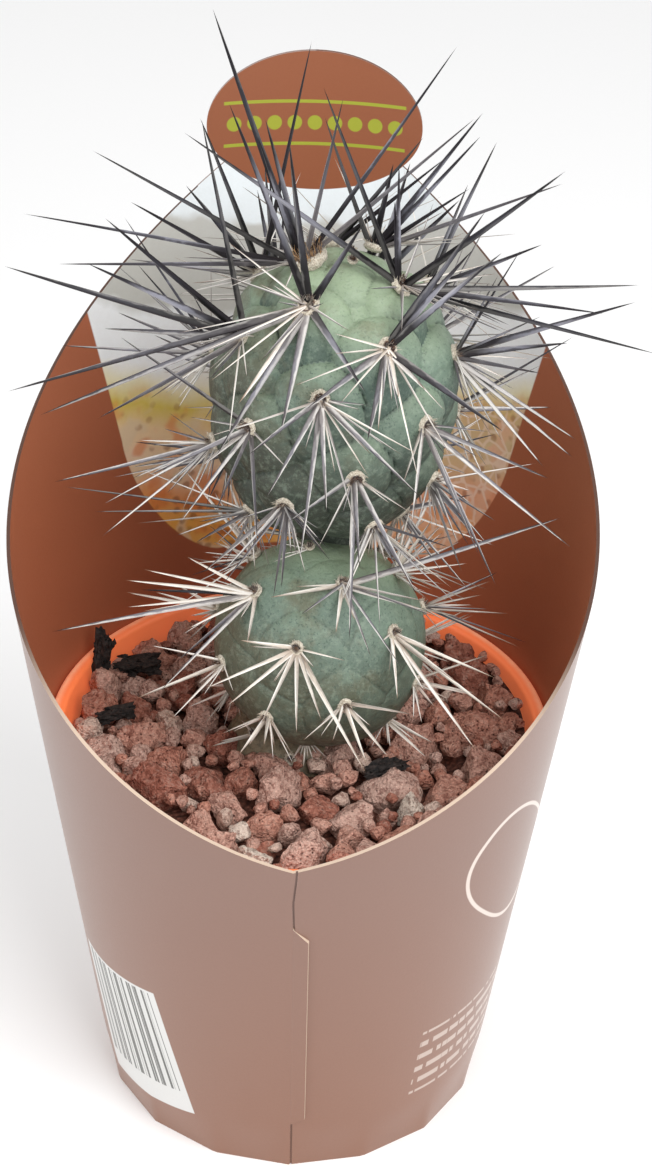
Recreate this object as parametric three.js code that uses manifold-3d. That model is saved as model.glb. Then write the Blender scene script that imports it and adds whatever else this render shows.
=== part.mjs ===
// A potted Tephrocactus alexanderi: three stacked stem segments in lava gravel,
// in a round plastic pot that stands in a flared cardboard sleeve.
// Millimetres, +Z up, +Y to the back. The origin is the middle of the sleeve's underside.
import * as THREE from 'three';
import { mergeVertices } from 'three/addons/utils/BufferGeometryUtils.js';
import Module from 'manifold-3d';

const wasm = await Module();
wasm.setup();

// Clearance between pieces that touch
const GAP = 0.3;

// Sleeve: one sheet of card, a cone with a slanted mouth that rises to the back
const CARD = 0.6;
const FLOOR_CARD = 0.8;
const SLEEVE_FOOT_RADIUS = 33.4;
const SLEEVE_FLARE = 0.139;
const FOOT_FACETS = 16;
const FOOT_CREASE_HEIGHT = 9;
const COLUMN_STEP = 5;
const MOUTH_FRONT = 72.2;
const MOUTH_RISE = 0.245;
const MOUTH_CURVE = 0.00138;
const MOUTH_TOP = 151.5;

// Oval tag that stands up out of the sleeve's back edge
const TAG_HEIGHT = 156;
const TAG_HALF_WIDTH = 18.2;
const TAG_HALF_HEIGHT = 11.8;
const TAG_NECK_ANGLE = -34;
const TAG_STEP = 15;

// Front seam: a lock tab of the left panel laps over the right one
const SEAM_X = 0.5;
const SEAM_WIDTH = 0.3;
const TAB_OUTLINE = [[-7, 12], [0.4, 11], [2.6, 12.8], [2.6, 56.8], [-1.5, 61.2], [-7, 61.2]];
const TAB_PROUD = 0.45;

// Pot: 8.5 cm round, thin wall, rolled rim, drain holes in the floor
const POT_FLOOR = FLOOR_CARD + GAP;
const POT_WALL = 1.1;
const POT_FOOT_RADIUS = 30;
const RIM_RADIUS = 42.2;
const RIM_TOP = 70.5;
const RIM_HEIGHT = 5;
const RIM_INNER_RADIUS = 39.6;
const POT_SIDES = 40;
const DRAIN_HOLES = 8;
const DRAIN_RADIUS = 3;
const DRAIN_CIRCLE = 20;

// Gravel: a filled bed, a little lower at its edge, whose top is a relief of packed lava stones
const BED_TOP = 67.4;
const BED_EDGE = 66.2;
const BED_SIDES = 36;
const BED_CLEARANCE = 0.5;
const STONE_PITCH = 7.4;
const STONE_SHIFT = 1.3;
const STONE_SHOULDER = 0.68;
const STONE_RISE = [1.2, 3.4];
const CREVICE_DROP = [0.8, 2.0];
const RELIEF_BASE = 60;

// Bark bits: two lie on the stones, one lies by the plant, and one stands up at the left
const BARK_SEAT = 2.2;
const BARK_BITS = [
  { x: -33, y: 12, length: 9, lean: 75, turn: 70 },
  { x: -25.5, y: 14, length: 9, lean: 15, turn: -25 },
  { x: -29.5, y: 2, length: 7, lean: 10, turn: 10 },
  { x: 13.5, y: -11, length: 7, lean: 8, turn: 20 },
];

// Stem segments. A golden-angle spiral sets the areoles, each on its own tubercle
const GOLDEN_ANGLE = 137.508;
const UPPER = {
  seed: 11, centre: [4.4, 7.5, 129.9], radius: 17.6, half: 21.4, low: 23.8, leanBack: 3, leanRight: 5,
  tubercle: 2.6, tubercleWidth: 7.6, start: -133.3, turn: 1, polar: [-0.5, 130, 0.74],
  first: 0, last: 33, grid: [36, 24], cushion: 1.9,
};
const LOWER = {
  seed: 23, centre: [3.1, -2, 88], radius: 15.9, half: 16.3, low: 16.3, leanBack: 30, leanRight: 8.7,
  tubercle: 1.9, tubercleWidth: 8.4, start: 4.2, turn: -1, polar: [55.4, 159, 1.1],
  first: -7, last: 16, grid: [34, 21], cushion: 1.6,
};
const BASAL = {
  seed: 31, centre: [-2.5, 1, 61.5], radius: 10.6, half: 10.8, low: 10.8, leanBack: 0, leanRight: 0,
  tubercle: 1, tubercleWidth: 7, start: 40, turn: 1, polar: [30, 150, 1.0],
  first: 0, last: 5, grid: [18, 11], cushion: 1.2,
};
const DOME_POWER = 0.7;
const DOME_DROP = 5;

// Short neck on which the upper segment sits on the lower one
const NECK = { x: 4.8, y: 7, low: 99, high: 112, foot: 7.2, top: 5.2, sides: 12 };

// Spine thickness at the root, by kind
const CROWN_WIDTH = 1.35;
const SIDE_WIDTH = 1.05;
const THIN_WIDTH = 0.75;
const SPINE_FLATNESS = 0.62;
const SPINE_SINK = 2.2;
const ROOT_SPREAD = 1.1;
const SPINE_STEPS = 24;

// How far a spine keeps from the card, from another segment and from other spines
const CLEAR_OF_CARD = 1.2;
const CLEAR_OF_STEM = 1.4;
const CLEAR_OF_SPINE = 1.5;
const CLEAR_OF_STONES = 1.5;

// Leading spines: [bearing, lift, length] for each areole of the spiral.
// Bearing turns from the front (0) to the right (90), lift is above the horizontal.
const UPPER_LEADERS = {
  2: [[-140, 65, 24], [-130, 60, 21], [145, 65, 14], [60, 60, 20]],
  3: [[-120, 66, 40], [-170, 75, 33], [105, 55, 39], [-90, 30, 35], [-80, 15, 42], [-75, 5, 36],
    [-105, 70, 20], [130, 75, 25]],
  4: [[105, 70, 30], [105, 62, 27], [85, 60, 20], [-92, 36, 40], [85, 40, 31]],
  6: [[-90, 70, 34], [-70, 82, 26], [-62, -4, 48], [-58, -8, 45], [-10, -35, 26], [-30, -25, 23]],
  9: [[75, 25, 39], [70, 10, 41], [70, 33, 27], [75, 50, 26], [-5, -25, 21], [-38, -5, 19]],
  11: [[-130, 75, 33], [-88, 42, 28], [-80, 30, 27], [-80, 20, 38], [-70, 12, 22], [-55, -15, 26]],
  12: [[90, 20, 29], [80, 14, 18], [60, -20, 23], [60, -27, 24], [48, -32, 22], [70, 0, 14]],
  14: [[-20, -15, 21], [-5, -30, 27], [3, -20, 21], [35, -10, 25], [-32, 0, 19]],
  17: [[50, -20, 30], [25, -30, 23], [32, -37, 27], [57, -5, 22], [-5, -30, 17]],
  19: [[-80, 40, 25], [-32, -20, 20], [-18, -22, 16], [5, -30, 19], [-50, -5, 19]],
  22: [[0, -36, 26], [3, -20, 17], [27, -25, 22], [-35, 0, 16]],
  24: [[-60, -30, 23], [-72, -18, 14], [-65, -20, 20], [-78, -12, 26]],
};
const LOWER_LEADERS = {
  0: [[85, 24, 36], [-55, 10, 13], [55, 5, 15], [-5, -10, 10], [12, 0, 9]],
  2: [[88, 0, 14], [100, 10, 10], [104, 18, 12]],
  3: [[-70, 0, 33], [-76, 14, 21], [-74, 22, 19], [-50, -5, 13], [-5, -15, 10]],
  5: [[50, -15, 23], [40, -28, 23], [60, -5, 18], [46, -8, 14], [5, -20, 12], [25, -15, 12]],
  8: [[-50, 0, 17], [-38, -7, 16], [-20, -15, 15], [0, -20, 15], [15, -14, 14], [30, -25, 23], [-50, 28, 12]],
  11: [[-80, 20, 12], [-65, -10, 15], [-45, -25, 12]],
  13: [[18, -15, 12], [34, -14, 12], [57, 14, 12], [-8, 4, 9]],
};

const rad = THREE.MathUtils.degToRad;
const deg = THREE.MathUtils.radToDeg;
const vec = (x, y, z) => new THREE.Vector3(x, y, z);
const Z_AXIS = vec(0, 0, 1);

// Seeded random numbers between 0 and 1
function seededRandom(seed) {
  let state = seed;
  return () => {
    state = (state + 0x6d2b79f5) | 0;
    let t = Math.imul(state ^ (state >>> 15), state | 1);
    t = (t + Math.imul(t ^ (t >>> 7), t | 61)) ^ t;
    return ((t ^ (t >>> 14)) >>> 0) / 4294967296;
  };
}

const between = (random, low, high) => low + (high - low) * random();

// Closed three.js geometry to a solid, and back
function toSolid(geometry) {
  const bare = geometry.index ? geometry.toNonIndexed() : geometry.clone();
  bare.deleteAttribute('normal');
  bare.deleteAttribute('uv');
  const merged = mergeVertices(bare, 1e-4);
  return new wasm.Manifold(new wasm.Mesh({
    numProp: 3,
    vertProperties: new Float32Array(merged.attributes.position.array),
    triVerts: new Uint32Array(merged.index.array),
  }));
}

function toGeometry(solid) {
  const mesh = solid.getMesh();
  const geometry = new THREE.BufferGeometry();
  geometry.setAttribute('position', new THREE.BufferAttribute(new Float32Array(mesh.vertProperties), 3));
  geometry.setIndex(new THREE.BufferAttribute(new Uint32Array(mesh.triVerts), 1));
  geometry.computeVertexNormals();
  return geometry;
}

const joined = (solids) => wasm.Manifold.union(solids);

// The main body of a solid, with its sealed hollows filled and no loose scraps
function mainBody(solid) {
  return solid.decompose().reduce((best, body) => (body.volume() > best.volume() ? body : best));
}

// Triangles of a grid of points that closes round its columns
function ringTriangles(rows, columns) {
  const triangles = [];
  for (let row = 0; row < rows - 1; row += 1) {
    for (let column = 0; column < columns; column += 1) {
      const next = (column + 1) % columns;
      const a = row * columns + column;
      const b = row * columns + next;
      const c = (row + 1) * columns + next;
      const d = (row + 1) * columns + column;
      triangles.push(a, b, c, a, c, d);
    }
  }
  return triangles;
}

function indexedGeometry(points, triangles) {
  const geometry = new THREE.BufferGeometry();
  const numbers = points.flatMap((point) => point.toArray());
  geometry.setAttribute('position', new THREE.Float32BufferAttribute(numbers, 3));
  geometry.setIndex(triangles);
  return geometry;
}

// Sleeve wall: outer radius at a height, how far the tag reaches round the back,
// and the height of the mouth's edge at a bearing
const sleeveRadius = (z) => SLEEVE_FOOT_RADIUS + SLEEVE_FLARE * z;
const TAG_REACH = deg(Math.asin(TAG_HALF_WIDTH / sleeveRadius(TAG_HEIGHT)));

function fromFront(bearing) {
  const turned = ((bearing % 360) + 360) % 360;
  return Math.min(turned, 360 - turned);
}

function mouthHeight(bearing) {
  const away = fromFront(bearing);
  const rise = MOUTH_FRONT + MOUTH_RISE * away + MOUTH_CURVE * away * away;
  return Math.min(rise, MOUTH_TOP);
}

// The foot is creased into flat facets, which fade out a little way up the wall
function footRadius(radius, bearing) {
  const facet = 360 / FOOT_FACETS;
  const offset = (((bearing % facet) + facet) % facet) - facet / 2;
  return (radius * Math.cos(rad(facet / 2))) / Math.cos(rad(offset));
}

// Point at a radius and a height, at a bearing that turns from the front to the right
const around = (radius, bearing, z) => vec(
  radius * Math.sin(rad(bearing)),
  -radius * Math.cos(rad(bearing)),
  z,
);

// Bearings of the wall's columns, with the height of the sheet's top edge at each
function sleeveColumns() {
  const columns = [];
  for (let bearing = 0; bearing < 360; bearing += COLUMN_STEP) {
    if (Math.abs(bearing - 180) > TAG_REACH + 2) columns.push([bearing, mouthHeight(bearing)]);
  }
  for (let turn = 0; turn <= 180; turn += TAG_STEP) {
    const x = TAG_HALF_WIDTH * Math.cos(rad(turn));
    const top = TAG_HEIGHT + TAG_HALF_HEIGHT * Math.sin(rad(turn));
    columns.push([180 - deg(Math.asin(x / sleeveRadius(top))), top]);
  }
  for (const side of [-1, 1]) {
    const bearing = 180 + side * (TAG_REACH + 0.5);
    columns.push([bearing, mouthHeight(bearing)]);
  }
  return columns.sort((a, b) => a[0] - b[0]);
}

// The wall as one closed sheet: outside, over the edge, inside, and across the floor
function sleeveWall() {
  const columns = sleeveColumns();
  const outside = [[0, 0], [0, FOOT_CREASE_HEIGHT], [0, null]];
  const inside = [[CARD, null], [CARD, FOOT_CREASE_HEIGHT], [CARD, FLOOR_CARD]];
  const points = [];
  for (const [inset, level] of [...outside, ...inside]) {
    for (const [bearing, top] of columns) {
      const z = level === null ? top : level;
      const round = sleeveRadius(z) - inset;
      points.push(around(z < FOOT_CREASE_HEIGHT ? footRadius(round, bearing) : round, bearing, z));
    }
  }
  const rows = outside.length + inside.length;
  const triangles = ringTriangles(rows, columns.length);
  points.push(vec(0, 0, 0), vec(0, 0, FLOOR_CARD));
  const under = points.length - 2;
  const over = points.length - 1;
  const lastRow = (rows - 1) * columns.length;
  for (let column = 0; column < columns.length; column += 1) {
    const next = (column + 1) % columns.length;
    triangles.push(under, next, column);
    triangles.push(over, lastRow + column, lastRow + next);
  }
  return toSolid(indexedGeometry(points, triangles));
}

function extrudedAlongY(outline, depth, yFront) {
  const shape = new THREE.Shape(outline.map(([x, z]) => new THREE.Vector2(x, z)));
  const geometry = new THREE.ExtrudeGeometry(shape, { depth, bevelEnabled: false });
  geometry.rotateX(Math.PI / 2);
  geometry.translate(0, yFront + depth, 0);
  return geometry;
}

// Notch under one side of the oval tag, where its outline draws in to a neck
function tagNotch(side) {
  const outline = [];
  for (let turn = -4; turn >= TAG_NECK_ANGLE; turn -= 10) {
    outline.push([TAG_HALF_WIDTH * Math.cos(rad(turn)), TAG_HEIGHT + TAG_HALF_HEIGHT * Math.sin(rad(turn))]);
  }
  const neck = outline[outline.length - 1];
  outline.push([TAG_HALF_WIDTH + 1.2, neck[1] - 2.2], [TAG_HALF_WIDTH + 1.2, TAG_HEIGHT - 0.4]);
  const mirrored = outline.map(([x, z]) => [side * x, z]);
  return toSolid(extrudedAlongY(side > 0 ? mirrored.reverse() : mirrored, 20, 42));
}

// Lock tab: a flap that lifts off the wall towards its free edge
function seamTab() {
  const geometry = extrudedAlongY(TAB_OUTLINE, CARD, -CARD);
  const free = TAB_OUTLINE[2][0];
  const hinge = TAB_OUTLINE[0][0];
  geometry.translate(-hinge, 0, 0);
  geometry.rotateZ(-Math.atan(TAB_PROUD / (free - hinge)));
  geometry.translate(hinge, 0, 0);
  geometry.rotateX(Math.atan(SLEEVE_FLARE));
  geometry.translate(0, -SLEEVE_FOOT_RADIUS + CARD - 0.05, 0);
  return toSolid(geometry);
}

function seamGroove() {
  const height = MOUTH_FRONT + 4;
  const geometry = new THREE.BoxGeometry(SEAM_WIDTH, CARD, height);
  geometry.translate(SEAM_X, 0, height / 2 - 2);
  geometry.rotateX(Math.atan(SLEEVE_FLARE));
  geometry.translate(0, -SLEEVE_FOOT_RADIUS - CARD * 0.1, 0);
  return toSolid(geometry);
}

function makeSleeve() {
  return sleeveWall().subtract(seamGroove()).subtract(tagNotch(-1)).subtract(tagNotch(1)).add(seamTab());
}

// Pot wall: inner radius at a height
const potInnerFoot = POT_FOOT_RADIUS - POT_WALL + 0.3;
const potInnerSlope = (RIM_INNER_RADIUS - potInnerFoot) / (RIM_TOP - POT_FLOOR - POT_WALL);
const potInnerRadius = (z) => potInnerFoot + potInnerSlope * (z - POT_FLOOR - POT_WALL);

function lathe(profile, sides) {
  const points = profile.map(([r, z]) => new THREE.Vector2(r, z));
  return new THREE.LatheGeometry(points, sides).rotateX(Math.PI / 2);
}

function makePot() {
  const underRim = RIM_TOP - RIM_HEIGHT;
  const profile = [
    [0, POT_FLOOR], [POT_FOOT_RADIUS - 0.8, POT_FLOOR], [POT_FOOT_RADIUS, POT_FLOOR + 0.8],
    [potInnerRadius(underRim) + POT_WALL, underRim], [RIM_RADIUS - 0.8, underRim + 0.3],
    [RIM_RADIUS, RIM_TOP - 0.9], [RIM_RADIUS - 0.7, RIM_TOP], [RIM_INNER_RADIUS + 0.6, RIM_TOP],
    [potInnerRadius(RIM_TOP - 0.7), RIM_TOP - 0.7],
    [potInnerRadius(POT_FLOOR + POT_WALL), POT_FLOOR + POT_WALL], [0, POT_FLOOR + POT_WALL],
  ];
  const body = toSolid(lathe(profile, POT_SIDES));
  const holes = [];
  for (let hole = 0; hole < DRAIN_HOLES; hole += 1) {
    const drill = new THREE.CylinderGeometry(DRAIN_RADIUS, DRAIN_RADIUS, 6, 12).rotateX(Math.PI / 2);
    const place = around(DRAIN_CIRCLE, (360 / DRAIN_HOLES) * (hole + 0.5), POT_FLOOR);
    holes.push(toSolid(drill.translate(place.x, place.y, place.z)));
  }
  return body.subtract(joined(holes));
}

const bedHeight = (r) => BED_TOP - (BED_TOP - BED_EDGE) * (r / RIM_INNER_RADIUS) ** 2;

// Stones packed in hexagons with shifted corners: each has a crown, a shoulder and a crevice round it
function stoneRelief(random) {
  const points = [];
  const triangles = [];
  const cornerIndex = new Map();
  const edgeUse = new Map();
  const level = (x, y, rise) => vec(x, y, bedHeight(Math.hypot(x, y)) + rise);
  const addPoint = (point) => points.push(point) - 1;
  const corner = (x, y) => {
    const key = `${Math.round(x * 4)},${Math.round(y * 4)}`;
    if (!cornerIndex.has(key)) {
      const shiftX = between(random, -STONE_SHIFT, STONE_SHIFT);
      const shiftY = between(random, -STONE_SHIFT, STONE_SHIFT);
      cornerIndex.set(key, addPoint(level(x + shiftX, y + shiftY, -between(random, ...CREVICE_DROP))));
    }
    return cornerIndex.get(key);
  };
  const rowPitch = STONE_PITCH * Math.sqrt(0.75);
  const cornerRadius = STONE_PITCH / Math.sqrt(3);
  const reach = RIM_INNER_RADIUS + STONE_PITCH;
  const rows = Math.ceil(reach / rowPitch);
  for (let row = -rows; row <= rows; row += 1) {
    for (let column = -rows; column <= rows; column += 1) {
      const x = (column + (row % 2 === 0 ? 0 : 0.5)) * STONE_PITCH;
      const y = row * rowPitch;
      if (Math.hypot(x, y) > reach) continue;
      const ring = [];
      for (let side = 0; side < 6; side += 1) {
        const turn = rad(60 * side + 30);
        ring.push(corner(x + cornerRadius * Math.cos(turn), y + cornerRadius * Math.sin(turn)));
      }
      const rise = between(random, ...STONE_RISE);
      const middle = ring.reduce((sum, i) => sum.add(points[i]), vec(0, 0, 0)).divideScalar(6);
      const crown = addPoint(level(middle.x, middle.y, rise));
      const shoulder = ring.map((i) => {
        const out = points[i].clone().lerp(middle, 1 - STONE_SHOULDER * between(random, 0.85, 1.1));
        return addPoint(level(out.x, out.y, rise * between(random, 0.45, 0.9)));
      });
      for (let side = 0; side < 6; side += 1) {
        const next = (side + 1) % 6;
        triangles.push(crown, shoulder[side], shoulder[next]);
        triangles.push(shoulder[side], ring[side], ring[next]);
        triangles.push(shoulder[side], ring[next], shoulder[next]);
        edgeUse.set(`${ring[side]},${ring[next]}`, [ring[side], ring[next]]);
      }
    }
  }
  const base = addPoint(vec(0, 0, RELIEF_BASE));
  const dropped = new Map();
  const below = (i) => {
    if (!dropped.has(i)) dropped.set(i, addPoint(vec(points[i].x, points[i].y, RELIEF_BASE)));
    return dropped.get(i);
  };
  for (const [from, to] of edgeUse.values()) {
    if (edgeUse.has(`${to},${from}`)) continue;
    triangles.push(from, below(from), below(to), from, below(to), to);
    triangles.push(below(from), base, below(to));
  }
  return toSolid(indexedGeometry(points, triangles));
}

// A sliver of bark: a stretched lump lying on the stones or stuck upright between them
function barkChip(random, bit) {
  const bare = new THREE.IcosahedronGeometry(1, 0).deleteAttribute('normal').deleteAttribute('uv');
  const chip = mergeVertices(bare);
  const corners = chip.attributes.position;
  for (let i = 0; i < corners.count; i += 1) {
    const swell = between(random, 0.8, 1.15);
    corners.setXYZ(i, corners.getX(i) * swell, corners.getY(i) * swell, corners.getZ(i) * swell);
  }
  chip.scale(bit.length * 0.5, bit.length * 0.17, bit.length * 0.14);
  chip.rotateY(rad(-bit.lean)).rotateZ(rad(bit.turn));
  const lift = (bit.length / 2) * Math.sin(rad(bit.lean));
  return toSolid(chip.translate(bit.x, bit.y, bedHeight(Math.hypot(bit.x, bit.y)) + BARK_SEAT + lift));
}

// The bed fills the pot, up to the relief of its stones
function makeGravel(holes) {
  const floor = POT_FLOOR + POT_WALL + GAP;
  const side = (z) => potInnerRadius(z) - BED_CLEARANCE;
  const seat = RELIEF_BASE + 1;
  const fill = toSolid(lathe([[0, floor], [side(floor), floor], [side(seat), seat], [0, seat]], BED_SIDES));
  const under = RELIEF_BASE - 1;
  const over = RIM_TOP + STONE_PITCH;
  const top = side(BED_TOP) - 0.1;
  const trim = toSolid(lathe([
    [0, under], [side(under) - 0.1, under], [top, BED_TOP], [top, over], [0, over],
  ], BED_SIDES));
  const random = seededRandom(5);
  const stones = stoneRelief(random).intersect(trim);
  const chips = BARK_BITS.map((bit) => barkChip(random, bit));
  return joined([fill, stones, ...chips]).subtract(joined(holes));
}

// Stem segment frame: local +Z is the segment's own axis, leaning back and to the right
function segmentFrame(segment) {
  const back = new THREE.Matrix4().makeRotationX(rad(-segment.leanBack));
  const right = new THREE.Matrix4().makeRotationY(rad(segment.leanRight));
  const frame = new THREE.Matrix4().multiplyMatrices(right, back);
  return frame.setPosition(...segment.centre);
}

const onEllipsoid = (segment, polar, bearing, proud) => vec(
  (segment.radius + proud) * Math.sin(rad(polar)) * Math.sin(rad(bearing)),
  -(segment.radius + proud) * Math.sin(rad(polar)) * Math.cos(rad(bearing)),
  ((polar < 90 ? segment.half : segment.low) + proud) * Math.cos(rad(polar)),
);

// Areole k of the spiral: its place and its outward, upward and sideways directions
function areole(segment, k) {
  const [start, reach, power] = segment.polar;
  const growth = Math.sign(k) * Math.abs(k / 30) ** power;
  const polar = start + reach * growth;
  const bearing = segment.start + segment.turn * GOLDEN_ANGLE * k;
  const local = onEllipsoid(segment, polar, bearing, segment.tubercle);
  const wide = (segment.radius + segment.tubercle) ** 2;
  const tall = ((polar < 90 ? segment.half : segment.low) + segment.tubercle) ** 2;
  const frame = segmentFrame(segment);
  const out = vec(local.x / wide, local.y / wide, local.z / tall).normalize();
  const up = Z_AXIS.clone().addScaledVector(out, -out.z).normalize();
  const age = (k - segment.first) / (segment.last - segment.first);
  return {
    k, polar, bearing, local, age,
    centre: local.clone().applyMatrix4(frame),
    out: out.clone().transformDirection(frame),
    up: up.clone().transformDirection(frame),
    side: vec(0, 0, 0).crossVectors(up, out).transformDirection(frame),
  };
}

function areolesOf(segment) {
  const list = [];
  for (let k = segment.first; k <= segment.last; k += 1) list.push(areole(segment, k));
  return list;
}

// Segment body: an ellipsoid with a domed tubercle round each areole, and a crease where two domes meet
function segmentBody(segment, extra = 0) {
  const [columns, rows] = segment.grid;
  const sphere = new THREE.SphereGeometry(1, columns, rows).rotateX(Math.PI / 2);
  const domes = areolesOf(segment).map((spot) => ({
    middle: onEllipsoid(segment, spot.polar + DOME_DROP, spot.bearing, 0),
    width: segment.tubercleWidth * Math.min(1, 0.5 + 0.06 * (spot.k - segment.first)),
  }));
  const points = sphere.attributes.position;
  const point = vec(0, 0, 0);
  for (let i = 0; i < points.count; i += 1) {
    point.fromBufferAttribute(points, i);
    const length = point.z > 0 ? segment.half : segment.low;
    const reach = vec(point.x * segment.radius, point.y * segment.radius, point.z * length);
    let swell = 0;
    for (const dome of domes) {
      const near = 1 - (reach.distanceTo(dome.middle) / dome.width) ** 2;
      swell = Math.max(swell, near);
    }
    const proud = segment.tubercle * swell ** DOME_POWER + extra;
    reach.add(point.multiplyScalar(proud));
    points.setXYZ(i, reach.x, reach.y, reach.z);
  }
  return toSolid(sphere.applyMatrix4(segmentFrame(segment)));
}

// One spine: a flattened three-sided needle, sunk into what it grows from
function needle(spine) {
  const { root, aim, length, width } = spine;
  const cone = new THREE.CylinderGeometry(0, width / 2, length + SPINE_SINK, 3, 1);
  cone.translate(0, (length + SPINE_SINK) / 2 - SPINE_SINK, 0);
  cone.scale(1, 1, SPINE_FLATNESS);
  cone.applyQuaternion(new THREE.Quaternion().setFromUnitVectors(vec(0, 1, 0), aim));
  cone.translate(root.x, root.y, root.z);
  return toSolid(cone);
}

const leaderAim = (bearing, lift) => around(Math.cos(rad(lift)), bearing, Math.sin(rad(lift)));

function fanAim(spot, roll, tilt) {
  const aside = spot.up.clone().multiplyScalar(Math.cos(rad(roll)));
  aside.addScaledVector(spot.side, Math.sin(rad(roll)));
  return spot.out.clone().multiplyScalar(Math.cos(rad(tilt))).addScaledVector(aside, Math.sin(rad(tilt)));
}

// Shortest distance between two spines, taken as straight lines from root to tip
function lineDistance(a, b) {
  let nearest = Infinity;
  const tipA = a.root.clone().addScaledVector(a.aim, a.length);
  const tipB = b.root.clone().addScaledVector(b.aim, b.length);
  const lineB = new THREE.Line3(b.root, tipB);
  const on = vec(0, 0, 0);
  for (let step = 0; step <= SPINE_STEPS; step += 1) {
    const at = a.root.clone().lerp(tipA, step / SPINE_STEPS);
    lineB.closestPointToPoint(at, true, on);
    nearest = Math.min(nearest, at.distanceTo(on));
  }
  return nearest;
}

// Whether a point lies in or too near the card, the gravel or another segment
function blocked(point, bodies, floor) {
  const r = Math.hypot(point.x, point.y);
  const bearing = deg(Math.atan2(point.x, -point.y));
  const behind = 180 - fromFront(bearing);
  const edge = behind < TAG_REACH + 5 ? TAG_HEIGHT + TAG_HALF_HEIGHT : mouthHeight(bearing);
  if (point.z < edge + CLEAR_OF_CARD && r > sleeveRadius(point.z) - CARD - CLEAR_OF_CARD) return true;
  if (point.z < floor) return true;
  return bodies.some((body) => {
    const local = point.clone().applyMatrix4(body.inverse);
    const wide = body.segment.radius + body.segment.tubercle + CLEAR_OF_STEM;
    const length = local.z > 0 ? body.segment.half : body.segment.low;
    const tall = length + body.segment.tubercle + CLEAR_OF_STEM;
    return (local.x ** 2 + local.y ** 2) / wide ** 2 + local.z ** 2 / tall ** 2 < 1;
  });
}

function isClear(spine, others, bodies, floor) {
  for (let step = 3; step <= SPINE_STEPS; step += 1) {
    const at = spine.root.clone().addScaledVector(spine.aim, (spine.length * step) / SPINE_STEPS);
    if (blocked(at, bodies, floor)) return false;
  }
  return others.every((other) => lineDistance(spine, other) > CLEAR_OF_SPINE);
}

// Turns a spine a little at a time, then shortens it, until it is clear; null where it never is
function bentClear(spine, others, bodies, floor) {
  for (const scale of [1, 0.85, 0.7, 0.55, 0.4]) {
    for (const swing of [0, 7, -7, 14, -14, 22, -22]) {
      for (const raise of [0, 8, 16, 26]) {
        const bearing = deg(Math.atan2(spine.aim.x, -spine.aim.y)) + swing;
        const lift = deg(Math.asin(spine.aim.z)) + raise;
        const tried = { ...spine, aim: leaderAim(bearing, Math.min(lift, 88)), length: spine.length * scale };
        if (isClear(tried, others, bodies, floor)) return tried;
      }
    }
  }
  return null;
}

// Spines of one areole: its leaders, or a fan by its age, and a few thin ones that point down
function fanOf(spot, leaders, random, style) {
  const spines = [];
  const add = (aim, length, width) => {
    const aside = aim.clone().addScaledVector(spot.out, -aim.dot(spot.out));
    spines.push({ root: spot.centre.clone().addScaledVector(aside, ROOT_SPREAD), aim, length, width });
  };
  for (const [bearing, lift, length] of leaders || []) {
    add(leaderAim(bearing, lift), length, style.width(spot, length));
  }
  if (!leaders) {
    for (let i = 0; i < style.centrals(spot); i += 1) {
      const spread = style.spread(spot);
      add(fanAim(spot, between(random, -spread, spread), between(random, 12, 45)),
        style.reach(spot) * between(random, 0.7, 1.1), style.width(spot, 20));
    }
  }
  for (let i = 0; i < style.radials(spot, leaders); i += 1) {
    add(fanAim(spot, between(random, 105, 255), between(random, 48, 76)),
      style.reach(spot) * between(random, 0.4, 0.6), THIN_WIDTH);
  }
  return spines;
}

const UPPER_STYLE = {
  centrals: (spot) => (spot.age < 0.06 ? 0 : Math.round(6 - 3 * spot.age)),
  radials: (spot, leaders) => (spot.age < 0.06 ? 0 : leaders ? 2 : 4),
  spread: (spot) => 60 + 110 * spot.age,
  reach: (spot) => 33 - 21 * spot.age,
  width: (spot) => (spot.age < 0.4 ? CROWN_WIDTH : SIDE_WIDTH),
};
const LOWER_STYLE = {
  centrals: (spot) => Math.round(4 - 2 * spot.age),
  radials: (spot, leaders) => (leaders ? 0 : 3),
  spread: (spot) => 90 + 60 * spot.age,
  reach: (spot) => 20 - 10 * spot.age,
  width: (spot, length) => (length > 20 ? SIDE_WIDTH : THIN_WIDTH + 0.15),
};
const BASAL_STYLE = {
  centrals: () => 2,
  radials: () => 2,
  spread: () => 60,
  reach: () => 11,
  width: () => THIN_WIDTH,
};

function spinesOf(segment, leaders, style, others, bodies, floor) {
  const random = seededRandom(segment.seed);
  const spines = [];
  for (const spot of areolesOf(segment)) {
    for (const spine of fanOf(spot, leaders[spot.k], random, style)) {
      const clear = bentClear(spine, others, bodies, floor);
      if (clear) spines.push(clear);
    }
  }
  return spines;
}

function cushionsOf(segment, extra = 0) {
  return areolesOf(segment).map((spot) => {
    const size = segment.cushion * Math.min(1, 0.45 + 0.12 * (spot.k - segment.first)) + extra * 1.6;
    const pad = new THREE.IcosahedronGeometry(size, 0).scale(1, 1, 0.62);
    pad.applyQuaternion(new THREE.Quaternion().setFromUnitVectors(Z_AXIS, spot.out));
    return toSolid(pad.translate(spot.centre.x, spot.centre.y, spot.centre.z));
  });
}

const obstacle = (segment) => ({ segment, inverse: segmentFrame(segment).invert() });

function makeSegment(segment, spines, extra = []) {
  return joined([segmentBody(segment), ...extra, ...cushionsOf(segment), ...spines.map(needle)]);
}

function neck() {
  const length = NECK.high - NECK.low;
  const tube = new THREE.CylinderGeometry(NECK.top, NECK.foot, length, NECK.sides).rotateX(Math.PI / 2);
  return toSolid(tube.translate(NECK.x, NECK.y, (NECK.high + NECK.low) / 2));
}

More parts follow.
